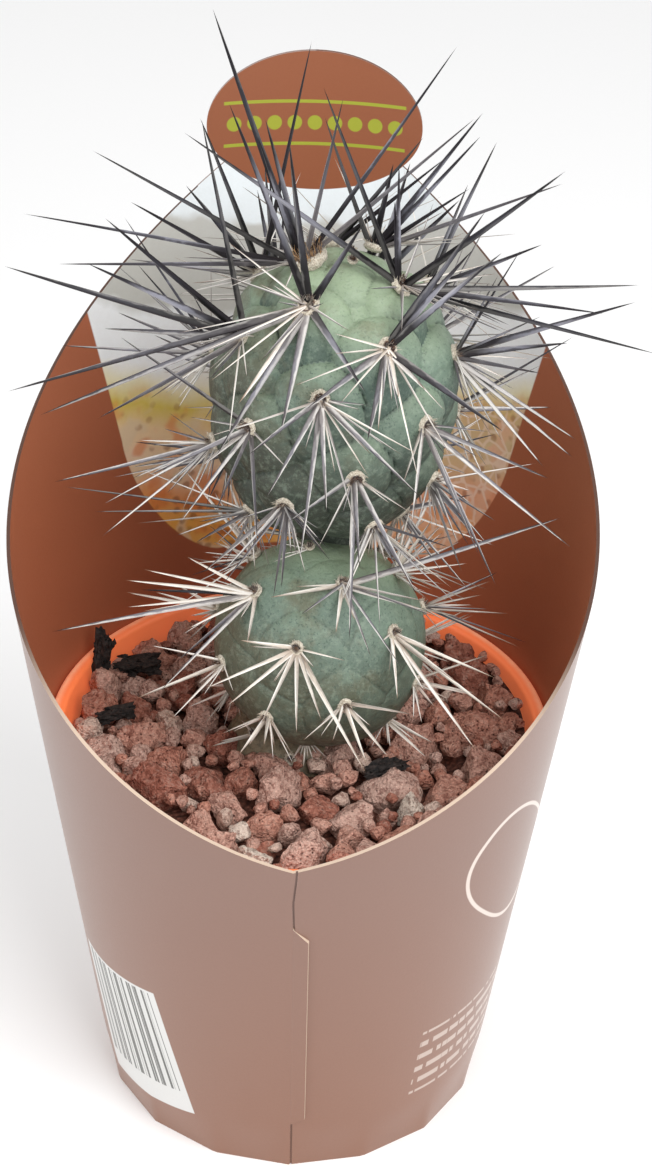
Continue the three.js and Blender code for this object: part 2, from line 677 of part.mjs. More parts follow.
// Space that a segment's flesh, areoles and spines need in their neighbour
const roomForSpine = (spine) => needle({ ...spine, width: spine.width + 4 * GAP, length: spine.length + 1 });
const roomFor = (segment, spines) => joined([
  segmentBody(segment, GAP),
  ...cushionsOf(segment, GAP),
  ...spines.map(roomForSpine),
]);

const clearFloor = RIM_TOP + CLEAR_OF_STONES;
const basalSpines = spinesOf(BASAL, {}, BASAL_STYLE, [], [obstacle(LOWER)], BED_TOP + CLEAR_OF_STONES);
const aroundLower = [obstacle(UPPER), obstacle(BASAL)];
const lowerSpines = spinesOf(LOWER, LOWER_LEADERS, LOWER_STYLE, basalSpines, aroundLower, clearFloor);
const upperSpines = spinesOf(UPPER, UPPER_LEADERS, UPPER_STYLE, lowerSpines, [obstacle(LOWER)], clearFloor);

const basal = makeSegment(BASAL, basalSpines);
const roomForBasal = roomFor(BASAL, basalSpines);
const roomForLower = roomFor(LOWER, lowerSpines);
const lower = makeSegment(LOWER, lowerSpines).subtract(roomForBasal);
const upper = makeSegment(UPPER, upperSpines, [neck()]).subtract(roomForLower);
const gravel = makeGravel([roomForBasal, roomForLower]);

function piece(name, solid, color, roughness) {
  const material = new THREE.MeshStandardMaterial({ color, roughness, metalness: 0, flatShading: true });
  const mesh = new THREE.Mesh(toGeometry(mainBody(solid)), material);
  mesh.name = name;
  return mesh;
}

const pottedCactus = new THREE.Group();
pottedCactus.add(
  piece('cardboard_sleeve', makeSleeve(), 0x9c7561, 0.75),
  piece('plant_pot', makePot(), 0xe86a35, 0.4),
  piece('lava_gravel', gravel, 0x83503f, 0.95),
  piece('basal_segment', basal, 0x7c7a5a, 0.7),
  piece('lower_segment', lower, 0x66886f, 0.6),
  piece('upper_segment', upper, 0x6f9078, 0.6),
);

export default pottedCactus;
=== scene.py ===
"""Looks of a potted Tephrocactus alexanderi in its cardboard sleeve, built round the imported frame.

Lengths are millimetres, which MM turns into Blender's metres where they are handed over. Only the
welding distances and the sizes of the floor and the lights are metres. +Z is up and the front is
towards -Y.
"""
import math
from types import SimpleNamespace

import bpy
import numpy as np
from mathutils import Matrix, Vector, noise


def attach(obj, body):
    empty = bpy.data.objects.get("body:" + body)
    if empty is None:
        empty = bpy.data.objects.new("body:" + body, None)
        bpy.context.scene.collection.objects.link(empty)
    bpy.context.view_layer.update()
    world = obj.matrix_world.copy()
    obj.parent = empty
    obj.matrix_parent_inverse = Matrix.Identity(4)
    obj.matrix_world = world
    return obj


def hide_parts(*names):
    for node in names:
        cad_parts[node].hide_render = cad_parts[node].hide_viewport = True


bl_info = {
    "name": "Potted cactus in a sleeve",
    "version": (1, 0, 0),
    "blender": (4, 5, 0),
    "location": "3D View > Sidebar > Cactus",
    "description": "Models and paints a potted cactus piece by piece",
    "category": "Object",
}

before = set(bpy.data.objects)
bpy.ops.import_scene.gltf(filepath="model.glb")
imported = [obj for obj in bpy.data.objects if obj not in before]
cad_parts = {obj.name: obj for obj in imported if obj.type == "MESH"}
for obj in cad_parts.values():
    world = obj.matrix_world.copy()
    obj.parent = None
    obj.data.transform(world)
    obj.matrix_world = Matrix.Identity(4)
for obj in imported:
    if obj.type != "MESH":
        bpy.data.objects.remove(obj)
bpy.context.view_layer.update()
MM = 0.001

# Sleeve: a cone of card whose slanted mouth rises to the back
CARD = 0.6
FOOT_RADIUS = 33.4
FLARE = 0.139
FOOT_FACETS = 16
CREASE_HEIGHT = 9
MOUTH_FRONT = 72.2
MOUTH_RISE = 0.245
MOUTH_CURVE = 0.00138
MOUTH_TOP = 151.5
TAG_HEIGHT = 156
TAG_HALF_WIDTH = 18.2
TAG_HALF_HEIGHT = 11.8
TAG_NECK_ANGLE = -34
SEAM_HEIGHTS = (0, 60, 62, 73)
SEAM_PLACES = (0.4, 0.4, -0.2, 0.7)
TAB_SIDES = ((-1.4, 11.6, 60.8), (0.3, 11, 59.2), (2.6, 12.8, 56.8))
TAB_PROUD = 0.6

# Pot and gravel
POT_FLOOR = 1.1
POT_WALL = 1.1
POT_FOOT_RADIUS = 30
RIM_RADIUS = 42.2
RIM_INNER_RADIUS = 39.6
RIM_TOP = 70.5
RIM_HEIGHT = 5
DRAIN_HOLES = 8
DRAIN_RADIUS = 3
DRAIN_CIRCLE = 20
BED_TOP = 67.4
BED_EDGE = 66.2
# Top of the bed of grains under the stones, and how many rings its mesh has there
GRAIN_LEVEL = 64.6
BED_RINGS = 26
BARK_SEED = 41
# Seed of Blender's vector noise, which roughens the bark and otherwise starts from the clock
BARK_NOISE_SEED = 1795623344
# Bits of bark: x, y, length, width as a share of the length, lean and turn in degrees
BARK_BITS = (
    (-34.6, 16, 6.4, 0.34, 75, 70), (-28.5, 16.5, 6.4, 0.55, 15, -25),
    (-31.5, 2, 5, 0.5, 10, 10), (14.4, -12, 5.5, 0.4, 8, 20),
)

# Spines: thickness at the root by kind, and how far they keep from their neighbours
CROWN_WIDTH = 1.35
SIDE_WIDTH = 1.05
LONG_WIDTH = 1.25
SHORT_WIDTH = 0.9
THIN_WIDTH = 0.75
SPINE_FLATNESS = 0.62
SPINE_SINK = 1.2
ROOT_SPREAD = 1.1
SPINE_STEPS = 24
# Steps at the root that the tests for room leave out
ROOT_STEPS = 3
CLEAR_OF_CARD = 1.2
CLEAR_OF_STEM = 1.4
CLEAR_OF_SPINE = 1.5
CLEAR_OF_STONES = 1.5

# Long spines of the areoles that show in front: (bearing, lift, length), and a kind where it isn't
# the usual one of their age. Bearing turns from the front (0) to the right (90), and lift is above
# the horizontal.
UPPER_LONG = {
    2: ((85, 57, 28), (84, 52, 25), (81, 40, 18), (82, 26, 31, "ash"), (-134, 59, 21), (105, 78, 14)),
    3: ((-120, 66, 40), (-126, 72, 22), (-145, 76, 18), (105, 55, 39), (94, 42, 33, "ash"),
        (-90, 30, 35), (-80, 15, 42), (-75, 5, 36), (-105, 70, 20), (130, 75, 25, "ash")),
    4: ((-112, 66, 32), (-131, 83, 13), (-152, 85, 19), (-92, 36, 40), (85, 40, 31), (76, 8, 36, "dark"),
        (74, 3, 31, "dark"), (70, -4, 40, "dark")),
    5: ((95, 41, 22), (102, 52, 22)),
    6: ((-90, 70, 34), (-70, 82, 26), (93, 60, 15), (-62, -4, 48, "slate"),
        (-58, -8, 45, "slate"), (-12, -42, 20, "ash"), (-38, -33, 18, "pale"), (-34, -34, 27, "slate"),
        (38, -30, 16, "slate")),
    7: ((110, 66, 25), (118, 68, 17), (86, 26, 19)),
    8: ((130, 76, 37), (-115, 67, 26), (-90, 32, 23), (-100, 50, 18), (-80, 12, 20)),
    9: ((89, 59, 26, "dark"), (84, 47, 23, "dark"), (88, 55, 20, "dark"), (94, 61, 14, "dark"),
        (-13, -41, 14), (-52, -20, 15), (19, -40, 7, "pale"), (47, -24, 8, "pale"), (53, -16, 22, "slate")),
    10: ((130, 72, 19), (98, 46, 18), (160, 40, 18)),
    11: ((-130, 75, 33), (-88, 42, 28), (-80, 30, 27), (-80, 20, 38), (-70, 12, 22), (-55, -15, 26)),
    12: ((90, 20, 29), (80, 14, 18), (60, -20, 23), (60, -27, 24), (48, -32, 22), (70, 0, 14)),
    14: ((-20, -15, 21), (-5, -30, 27), (3, -20, 21), (35, -10, 25), (-32, 0, 19)),
    17: ((50, -20, 30), (25, -30, 23), (32, -37, 27), (57, -5, 22), (-5, -30, 17)),
    19: ((-80, 40, 25), (-32, -20, 20), (-18, -22, 16), (5, -30, 19), (-50, -5, 19)),
    22: ((0, -36, 26), (3, -20, 17), (27, -25, 22), (-35, 0, 16)),
    24: ((-60, -30, 23), (-72, -18, 14), (-65, -20, 20), (-78, -12, 26)),
}
LOWER_LONG = {
    0: ((85, 24, 36), (-55, 10, 13), (55, 5, 15), (-5, -10, 10), (12, 0, 9)),
    2: ((88, 0, 14), (100, 10, 10), (104, 18, 12)),
    3: ((-70, 0, 33, "ash"), (-76, 14, 21), (-74, 22, 19), (-50, -5, 13), (-5, -15, 10),
        (-48, -28, 21, "ash"), (-52, -24, 16, "ash"), (-79, 8, 18, "dark"), (-72, 0, 18), (-76, 0, 20),
        (-93, 28, 12)),
    5: ((50, -15, 23), (40, -28, 23), (60, -5, 18), (46, -8, 14), (5, -20, 12), (25, -15, 12)),
    8: ((-50, 0, 17), (-38, -7, 16), (-20, -15, 15), (0, -20, 15), (15, -14, 14), (30, -25, 23),
        (-50, 28, 12)),
    11: ((-80, 20, 12), (-65, -10, 15), (-45, -25, 12)),
    13: ((18, -15, 12), (34, -14, 12), (57, 14, 12), (-8, 4, 9)),
}

# How many spines an areole's fan has, how wide it spreads and how long and thick they are
UPPER_STYLE = SimpleNamespace(
    centrals=lambda spot: 0 if spot.age < BARE_TOP else whole(6 - 3 * spot.age),
    radials=lambda spot, ruled: 0 if spot.age < BARE_TOP else 4 if ruled else 2,
    spread=lambda spot: 60 + 110 * spot.age,
    reach=lambda spot: 33 - 21 * spot.age,
    width=lambda spot, length: CROWN_WIDTH if spot.age < 0.4 else SIDE_WIDTH,
)
LOWER_STYLE = SimpleNamespace(
    centrals=lambda spot: whole(4 - 2 * spot.age),
    radials=lambda spot, ruled: 3 if ruled else 0,
    spread=lambda spot: 90 + 60 * spot.age,
    reach=lambda spot: 20 - 10 * spot.age,
    width=lambda spot, length: LONG_WIDTH if length > 30 else SIDE_WIDTH if length > 20 else SHORT_WIDTH,
)
BASAL_STYLE = SimpleNamespace(
    centrals=lambda spot: 2, radials=lambda spot, ruled: 2, spread=lambda spot: 60,
    reach=lambda spot: 11, width=lambda spot, length: THIN_WIDTH,
)
# The youngest areoles, up to this age, are still bare
BARE_TOP = 0.06

# Stem segments: a golden-angle spiral sets the areoles, each on its own tubercle.
# read_again lists the areoles whose thin spines are made before their long ones, and
# drawn_as_well those whose fan is drawn by the rule too, and then gives way to the long spines.
GOLDEN_ANGLE = 137.508
UPPER = SimpleNamespace(
    name="upper", node="upper_segment", slot="stem", seed=11, centre=(4.4, 7.5, 129.9),
    radius=17.6, half=21.4, low=23.8, lean_back=3, lean_right=5,
    tubercle=2.6, start=-133.3, turn=1, polar=(-0.5, 130, 0.74),
    first=0, last=33, cushion=1.75, levels=7, relief=1, skin=("upper_skin", 0, 0.95, 1),
    style=UPPER_STYLE, long=UPPER_LONG, read_again=range(2, 11), drawn_as_well=(5, 7, 8, 10),
)
LOWER = SimpleNamespace(
    name="lower", node="lower_segment", slot="stem", seed=23, centre=(3.1, -2, 88),
    radius=15.9, half=16.3, low=16.3, lean_back=30, lean_right=8.7,
    tubercle=1.9, start=4.2, turn=-1, polar=(55.4, 159, 1.1),
    first=-7, last=16, cushion=1.35, levels=7, relief=0.42, skin=("lower_skin", 0, 0.45, 0.3),
    style=LOWER_STYLE, long=LOWER_LONG, read_again=(3,), drawn_as_well=(),
)
BASAL = SimpleNamespace(
    name="basal", node="basal_segment", slot="old_stem", seed=31, centre=(-2.5, 1, 61.5),
    radius=10.6, half=10.8, low=10.8, lean_back=0, lean_right=0,
    tubercle=1, start=40, turn=1, polar=(30, 150, 1.0),
    first=0, last=5, cushion=1.2, levels=6, relief=1, skin=("corky_skin", 0.85, 0.3, 0),
    style=BASAL_STYLE, long={}, read_again=(), drawn_as_well=(),
)
SEGMENTS = (UPPER, LOWER, BASAL)
# Added to a segment's seed for the draws of its areoles and of its fine spines
AREOLE_DRAWS = 100
SPINE_DRAWS = 200
NECK = SimpleNamespace(x=4.8, y=7, low=99, high=112, foot=7.2, top=5.2)

# The photograph's camera
CAMERA_TARGET = (3.9, 0, 98.1)
CAMERA_DISTANCE = 425
CAMERA_ELEVATION = 32.4
CAMERA_ROLL = 1.49
FOCAL_PIXELS = 2600
IMAGE_HEIGHT = 1165
SENSOR = 36
FOCAL_LENGTH = FOCAL_PIXELS * SENSOR / IMAGE_HEIGHT


def linear(red, green, blue):
    """Screen colour, 0 to 255, as the linear colour that a shader takes."""
    parts = []
    for value in (red, green, blue):
        share = value / 255
        parts.append(share / 12.92 if share <= 0.04045 else ((share + 0.055) / 1.055) ** 2.4)
    return tuple(parts)


def colour(name, description, red, green, blue):
    return bpy.props.FloatVectorProperty(
        name=name, description=description, subtype="COLOR", size=3, min=0, max=1,
        default=linear(red, green, blue),
    )


def amount(name, description, default, low, high, kind=bpy.props.FloatProperty, **more):
    return kind(name=name, description=description, default=default, min=low, max=high, **more)


def count(*facts):
    return amount(*facts, kind=bpy.props.IntProperty)


# Shader maths

class Wire:
    """A shader output, on which Python's arithmetic adds Math nodes."""

    def __init__(self, finish, socket):
        self.finish = finish
        self.socket = socket

    def math(self, operation, *others):
        return self.finish.math(operation, self, *others)

    def __add__(self, other):
        return self.math("ADD", other)

    def __sub__(self, other):
        return self.math("SUBTRACT", other)

    def __mul__(self, other):
        return self.math("MULTIPLY", other)

    def __truediv__(self, other):
        return self.math("DIVIDE", other)

    def __pow__(self, other):
        return self.math("POWER", other)

    def __radd__(self, other):
        return self.finish.math("ADD", other, self)

    def __rsub__(self, other):
        return self.finish.math("SUBTRACT", other, self)

    def __rmul__(self, other):
        return self.finish.math("MULTIPLY", other, self)

    def __abs__(self):
        return self.math("ABSOLUTE")

    def above(self, edge, soft):
        """0 below the edge, 1 above it, with a soft step between."""
        return self.finish.node(
            "MapRange", {"interpolation_type": "SMOOTHSTEP"},
            {"Value": self, "From Min": edge - soft, "From Max": edge + soft})

    def below(self, edge, soft):
        return 1 - self.above(edge, soft)


class Finish:
    """A material with its Principled shader, and one method that adds any other node."""

    def __init__(self, name, roughness=0.6, coat=0.0, **fixed):
        self.material = bpy.data.materials.new(name)
        self.material.use_nodes = True
        self.tree = self.material.node_tree
        self.shader = self.tree.nodes["Principled BSDF"]
        self.set("Roughness", roughness)
        self.set("Coat Weight", coat)
        for socket, value in fixed.items():
            self.set(socket.replace("_", " "), value)

    def node(self, kind, settings=None, inputs=None, output=0):
        node = self.tree.nodes.new("ShaderNode" + kind)
        for key, value in (settings or {}).items():
            if key == "stops":
                ramp = node.color_ramp
                while len(ramp.elements) < len(value):
                    ramp.elements.new(1)
                for element, (place, tint) in zip(ramp.elements, value):
                    element.position = place
                    element.color = (*tint, 1)
            else:
                setattr(node, key, value)
        for key, value in (inputs or {}).items():
            self.join(node.inputs[key], value)
        return Wire(self, node.outputs[output])

    def math(self, operation, *values):
        return self.node("Math", {"operation": operation}, dict(enumerate(values)))

    def join(self, socket, value):
        if isinstance(value, Wire):
            self.tree.links.new(value.socket, socket)
        elif socket.type == "RGBA":
            socket.default_value = (*value[:3], 1)
        else:
            socket.default_value = value

    def set(self, socket, value):
        self.join(self.shader.inputs[socket], value)

    def place(self):
        """Object coordinates in millimetres."""
        coordinates = self.node("TexCoord", output="Object")
        return self.node("VectorMath", {"operation": "SCALE"}, {0: coordinates, "Scale": 1 / MM})

    def split(self, vector):
        return [self.node("SeparateXYZ", inputs={0: vector}, output=axis) for axis in range(3)]

    def noise(self, vector, size, detail=3, rough=0.5):
        """Noise from 0 to 1 with features about this many millimetres across."""
        return self.node("TexNoise", inputs={
            "Vector": vector, "Scale": 1 / size, "Detail": detail, "Roughness": rough})

    def cells(self, vector, size, feature="F1"):
        """Cells about this many millimetres across, and the distance from their points or edges."""
        inputs = {"Vector": vector, "Scale": 1 / size}
        return self.node("TexVoronoi", {"feature": feature}, inputs, "Distance")

    def mix(self, share, a, b, blend="MIX"):
        settings = {"data_type": "RGBA", "blend_type": blend}
        return self.node("Mix", settings, {0: share, 6: a, 7: b}, output=2)

    def laid(self, base, *layers):
        """The base under layers, each with its share and its tint, a wire or a screen colour."""
        for share, tint in layers:
            base = self.mix(share, base, linear(*tint) if isinstance(tint, tuple) else tint)
        return base

    def ramp(self, share, *stops):
        """A run of tints, each given as its place and its screen colour."""
        stops = [(place, linear(*tint)) for place, *tint in stops]
        return self.node("ValToRGB", {"stops": stops}, {0: share})

    def attribute(self, name):
        return self.node("Attribute", {"attribute_name": name}, output="Fac")

    def bump(self, height, depth, strength=1.0):
        """Relief whose height runs from 0 to 1 over this many millimetres."""
        self.set("Normal", self.node("Bump", inputs={
            "Strength": strength, "Distance": depth * MM, "Height": height}))


# Mesh tools

def read_points(thing):
    flat = np.empty(len(thing.data.vertices) * 3)
    thing.data.vertices.foreach_get("co", flat)
    return flat.reshape(-1, 3) / MM


def write_points(thing, points):
    thing.data.vertices.foreach_set("co", (np.asarray(points) * MM).ravel())
    thing.data.update()


def write_values(thing, name, values):
    layer = thing.data.attributes.new(name, "FLOAT", "POINT")
    layer.data.foreach_set("value", np.asarray(values, dtype=np.float32))


def pick(thing):
    """Makes a piece the only selected and the active object."""
    bpy.ops.object.select_all(action="DESELECT")
    thing.select_set(True)
    bpy.context.view_layer.objects.active = thing
    return thing


def added(name):
    """The primitive that was just added, under this name."""
    thing = bpy.context.object
    thing.name = name
    thing.data.name = name
    return thing


def modify(thing, kind, **settings):
    """Gives a piece a modifier with these settings, and applies it."""
    pick(thing)
    modifier = thing.modifiers.new(kind.lower(), kind)
    for name, value in settings.items():
        setattr(modifier, name, value)
    bpy.ops.object.modifier_apply(modifier=modifier.name)


SELECT_ALL = (bpy.ops.mesh.select_all, {"action": "SELECT"})
FACE_OUT = (bpy.ops.mesh.normals_make_consistent, {"inside": False})


def edit(thing, *steps, ends=None):
    """Runs edit-mode operators on all of a piece, or on the edges whose two ends pass a test."""
    pick(thing)
    bpy.ops.object.mode_set(mode="EDIT")
    bpy.ops.mesh.select_all(action="SELECT")
    if ends:
        bpy.ops.mesh.select_mode(type="EDGE")
        bpy.ops.mesh.select_all(action="DESELECT")
        bpy.ops.object.mode_set(mode="OBJECT")
        for edge in thing.data.edges:
            edge.select = all(ends(thing.data.vertices[end].co) for end in edge.vertices)
        bpy.ops.object.mode_set(mode="EDIT")
    for step, options in steps:
        step(**options)
    bpy.ops.object.mode_set(mode="OBJECT")
    return thing


def drop(thing):
    bpy.data.objects.remove(thing, do_unlink=True)


def cut(thing, cutter):
    """Takes the cutter's volume out of a piece, and drops the cutter."""
    before = len(thing.data.vertices), len(thing.data.polygons)
    modify(thing, "BOOLEAN", operation="DIFFERENCE", solver="EXACT", material_mode="INDEX", object=cutter)
    drop(cutter)
    if (len(thing.data.vertices), len(thing.data.polygons)) == before or not thing.data.polygons:
        raise RuntimeError(f"{thing.name} was not cut")


def linked(name, data):
    thing = bpy.data.objects.new(name, data)
    bpy.context.collection.objects.link(thing)
    return thing


def mesh_piece(name, points, faces=(), edges=()):
    mesh = bpy.data.meshes.new(name)
    mesh.from_pydata((np.asarray(points) * MM).tolist(), edges, [tuple(map(int, face)) for face in faces])
    return linked(name, mesh)


def template():
    """Points and faces of the primitive that was just added at unit size, which is then dropped."""
    thing = bpy.context.object
    points = read_points(thing) * MM
    faces = [tuple(face.vertices) for face in thing.data.polygons]
    drop(thing)
    return points, faces


def copies(name, faces, clouds, values):
    """One mesh of many copies of a template's faces, each with its own points and values."""
    step = len(clouds[0])
    faces_out = []
    for index in range(len(clouds)):
        faces_out.extend(tuple(corner + index * step for corner in face) for face in faces)
    thing = mesh_piece(name, np.concatenate(clouds), faces_out)
    for key, numbers in values.items():
        write_values(thing, key, np.concatenate(numbers))
    return thing


def smooth(thing, angle):
    """Shades a piece smooth, apart from edges sharper than this many degrees."""
    pick(thing)
    bpy.ops.object.shade_smooth_by_angle(angle=math.radians(angle))
    return thing


def joined(name, things):
    pick(things[0])
    for thing in things:
        thing.select_set(True)
    bpy.ops.object.join()
    things[0].name = name
    return things[0]


def finished(thing, slot, node, *finishes):
    """Paints a piece, hangs it from the root body and hides the frame's node that it stands for."""
    pick(thing)
    bpy.ops.object.transform_apply(location=True, rotation=True, scale=True)
    if finishes:
        thing.data.materials.clear()
        for finish in finishes:
            thing.data.materials.append(finish.material)
    if not thing.data.polygons:
        raise RuntimeError(f"{thing.name} has no faces")
    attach(thing, "root")
    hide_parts(node)
    return thing


def turned(profile, steps, name):
    """A body of revolution: a half outline of (radius, height) points, spun about the Z axis."""
    edges = [(i, i + 1) for i in range(len(profile) - 1)]
    return edit(
        mesh_piece(name, [(r, 0, z) for r, z in profile], edges=edges),
        (bpy.ops.mesh.spin, {"steps": steps, "angle": math.tau, "center": (0, 0, 0), "axis": (0, 0, 1)}),
        SELECT_ALL,
        (bpy.ops.mesh.remove_doubles, {"threshold": 1e-6}),
        FACE_OUT,
    )


def rounded(profile, radius, steps=4):
    """The outline with its corners rounded, apart from its two ends."""
    points = [np.array(p, float) for p in profile]
    out = [points[0]]
    for before, corner, after in zip(points, points[1:], points[2:]):
        room = 0.45 * min(np.linalg.norm(before - corner), np.linalg.norm(after - corner))
        reach = min(radius, room)
        start = corner + (before - corner) / np.linalg.norm(before - corner) * reach
        end = corner + (after - corner) / np.linalg.norm(after - corner) * reach
        for step in range(steps + 1):
            t = step / steps
            out.append((1 - t) ** 2 * start + 2 * t * (1 - t) * corner + t * t * end)
    out.append(points[-1])
    return [tuple(p) for p in out]


# The plant's rule, which places its areoles and spines

def seeded_random(seed):
    """Numbers between 0 and 1, the same ones on every machine."""
    state = seed

    def draw():
        nonlocal state
        state = (state + 0x6D2B79F5) & 0xFFFFFFFF
        mixed = ((state ^ (state >> 15)) * (state | 1)) & 0xFFFFFFFF
        mixed = ((mixed + ((mixed ^ (mixed >> 7)) * (mixed | 61))) & 0xFFFFFFFF) ^ mixed
        return (mixed ^ (mixed >> 14)) / 4294967296

    return draw


def between(random, low, high):
    return low + (high - low) * random()


def whole(value):
    return math.floor(value + 0.5)


def bearing_point(radius, bearing, z):
    turn = math.radians(bearing)
    return Vector((radius * math.sin(turn), -radius * math.cos(turn), z))


def segment_frame(segment):
    back = Matrix.Rotation(math.radians(-segment.lean_back), 4, "X")
    right = Matrix.Rotation(math.radians(segment.lean_right), 4, "Y")
    return Matrix.Translation(segment.centre) @ right @ back


def areole(segment, k):
    """Areole k of the spiral: its place, age and outward, upward and sideways directions."""
    start, reach, power = segment.polar
    polar = start + reach * math.copysign(abs(k / 30) ** power, k)
    bearing = segment.start + segment.turn * GOLDEN_ANGLE * k
    wide = segment.radius + segment.tubercle
    tall = (segment.half if polar < 90 else segment.low) + segment.tubercle
    angle = math.radians(polar)
    local = bearing_point(wide * math.sin(angle), bearing, tall * math.cos(angle))
    out = Vector((local.x / wide ** 2, local.y / wide ** 2, local.z / tall ** 2)).normalized()
    up = (Vector((0, 0, 1)) - out * out.z).normalized()
    side = up.cross(out)
    matrix = segment_frame(segment)
    turn = matrix.to_3x3()
    young = k - segment.first
    return SimpleNamespace(
        k=k, young=young, age=young / (segment.last - segment.first),
        local=local, local_out=out, local_up=up, local_side=side,
        centre=matrix @ local, out=turn @ out, up=turn @ up, side=turn @ side)


def areoles_of(segment):
    return [areole(segment, k) for k in range(segment.first, segment.last + 1)]


def changed(thing, **values):
    """A copy of an areole or a spine with some of its values changed."""
    return SimpleNamespace(**{**vars(thing), **values})


def leader_aim(bearing, lift):
    """Aim at this bearing and lift, in degrees."""
    return bearing_point(math.cos(math.radians(lift)), bearing, math.sin(math.radians(lift)))


def bearing_of(aim):
    return math.degrees(math.atan2(aim.x, -aim.y))


def fan_aim(spot, roll, tilt):
    """Aim that tilts away from an areole's outward direction, towards up at roll 0."""
    aside = spot.up * math.cos(math.radians(roll)) + spot.side * math.sin(math.radians(roll))
    return spot.out * math.cos(math.radians(tilt)) + aside * math.sin(math.radians(tilt))


def from_front(bearing):
    """How many degrees a bearing lies from the front, either way."""
    turned_by = bearing % 360
    return np.minimum(turned_by, 360 - turned_by)


def mouth_height(bearing):
    away = from_front(bearing)
    return np.minimum(MOUTH_FRONT + MOUTH_RISE * away + MOUTH_CURVE * away * away, MOUTH_TOP)


def sleeve_radius(z):
    return FOOT_RADIUS + FLARE * z


TAG_REACH = math.degrees(math.asin(TAG_HALF_WIDTH / sleeve_radius(TAG_HEIGHT)))
TAG_STRIP = 20.5


def sunk_in(points, segment, inverse, grown):
    """Whether each point lies in a segment that is thicker by this much all round."""
    local = points @ inverse[:3, :3].T + inverse[:3, 3]
    tall = np.where(local[:, 2] > 0, segment.half, segment.low) + grown
    across = (local[:, 0] ** 2 + local[:, 1] ** 2) / (segment.radius + grown) ** 2
    return across + local[:, 2] ** 2 / tall ** 2 < 1


def is_blocked(points, bodies, floor):
    """Whether any point lies in or too near the card, the gravel or another segment."""
    r = np.hypot(points[:, 0], points[:, 1])
    bearing = np.degrees(np.arctan2(points[:, 0], -points[:, 1]))
    behind = 180 - from_front(bearing)
    edge = np.where(behind < TAG_REACH + 5, TAG_HEIGHT + TAG_HALF_HEIGHT, mouth_height(bearing))
    z = points[:, 2]
    in_card = (z < edge + CLEAR_OF_CARD) & (r > sleeve_radius(z) - CARD - CLEAR_OF_CARD)
    if np.any(in_card) or np.any(z < floor):
        return True
    return any(
        np.any(sunk_in(points, segment, inverse, segment.tubercle + CLEAR_OF_STEM))
        for segment, inverse in bodies)


STEPS = np.arange(SPINE_STEPS + 1)[:, None] / SPINE_STEPS


def is_clear(spine, others, bodies, floor):
    """Whether a spine keeps clear of the bodies, and of the other spines where there are any."""
    line = np.array(spine.root) + STEPS * np.array(spine.aim) * spine.length
    if is_blocked(line[ROOT_STEPS:], bodies, floor):
        return False
    if others is None:
        return True
    starts, spans = others
    share = np.einsum("mkc,kc->mk", line[:, None] - starts[None], spans) / np.sum(spans ** 2, axis=1)
    nearest = starts[None] + np.clip(share, 0, 1)[:, :, None] * spans[None]
    return np.min(np.linalg.norm(nearest - line[:, None], axis=2)) > CLEAR_OF_SPINE


def bent_clear(spine, others, bodies, floor):
    """Turns a spine a little at a time, then shortens it, until it is clear of everything."""
    bearing = bearing_of(spine.aim)
    lift = math.degrees(math.asin(max(-1, min(1, spine.aim.z))))
    for scale in (1, 0.85, 0.7, 0.55, 0.4):
        for swing in (0, 7, -7, 14, -14, 22, -22):
            for rise in (0, 8, 16, 26):
                aim = leader_aim(bearing + swing, min(lift + rise, 88))
                tried = changed(spine, aim=aim, length=spine.length * scale)
                if is_clear(tried, others, bodies, floor):
                    return tried
    return None


def aside_of(aim, out):
    """The part of an aim that runs along the skin."""
    return aim - out * aim.dot(out)


def spine_of(spot, aim, length, width, kind, root=None):
    """A spine that leaves its areole a little off its middle, on the side it points to."""
    root = root or spot.centre + aside_of(aim, spot.out) * ROOT_SPREAD
    return SimpleNamespace(
        root=root, aim=aim, length=length, width=width, kind=kind, age=spot.age, out=spot.out, k=spot.k)


def fan_of(segment, spot, random):
    """Spines of one areole: long ones that are seen, or a fan by its age, and thin ones below."""
    style = segment.style
    seen = segment.long.get(spot.k, ())
    ruled = not seen or spot.k in segment.drawn_as_well
    fan = []
    for _ in range(style.centrals(spot) if ruled else 0):
        spread = style.spread(spot)
        aim = fan_aim(spot, between(random, -spread, spread), between(random, 12, 45))
        length = style.reach(spot) * between(random, 0.7, 1.1)
        fan.append(spine_of(spot, aim, length, style.width(spot, 20), "central"))
    if seen:
        fan = []
    for bearing, lift, length, *kind in seen:
        width = style.width(spot, length)
        fan.append(spine_of(spot, leader_aim(bearing, lift), length, width, *(kind or ["leader"])))
    thin = []
    for _ in range(style.radials(spot, ruled)):
        aim = fan_aim(spot, between(random, 105, 255), between(random, 48, 76))
        thin.append(spine_of(spot, aim, style.reach(spot) * between(random, 0.4, 0.6), THIN_WIDTH, "radial"))
    return thin + fan if spot.k in segment.read_again else fan + thin


def obstacle(segment):
    """A segment with the matrix that takes a point into its own frame."""
    return segment, np.array(segment_frame(segment).inverted())


def all_spines():
    """Each segment's long spines by its name, clear of the segments near it and of the last one's."""
    floor = RIM_TOP + CLEAR_OF_STONES
    order = (
        (BASAL, (LOWER,), BED_TOP + CLEAR_OF_STONES),
        (LOWER, (UPPER, BASAL), floor),
        (UPPER, (LOWER,), floor),
    )
    grown, lines = {}, None
    for segment, near, lowest in order:
        random = seeded_random(segment.seed)
        bodies = [obstacle(other) for other in near]
        fans = [fan_of(segment, spot, random) for spot in areoles_of(segment)]
        tried = [bent_clear(spine, lines, bodies, lowest) for fan in fans for spine in fan]
        spines = [spine for spine in tried if spine]
        grown[segment.name] = spines
        lines = np.array([spine.root for spine in spines]), np.array([s.aim * s.length for s in spines])
    return grown


# Sleeve

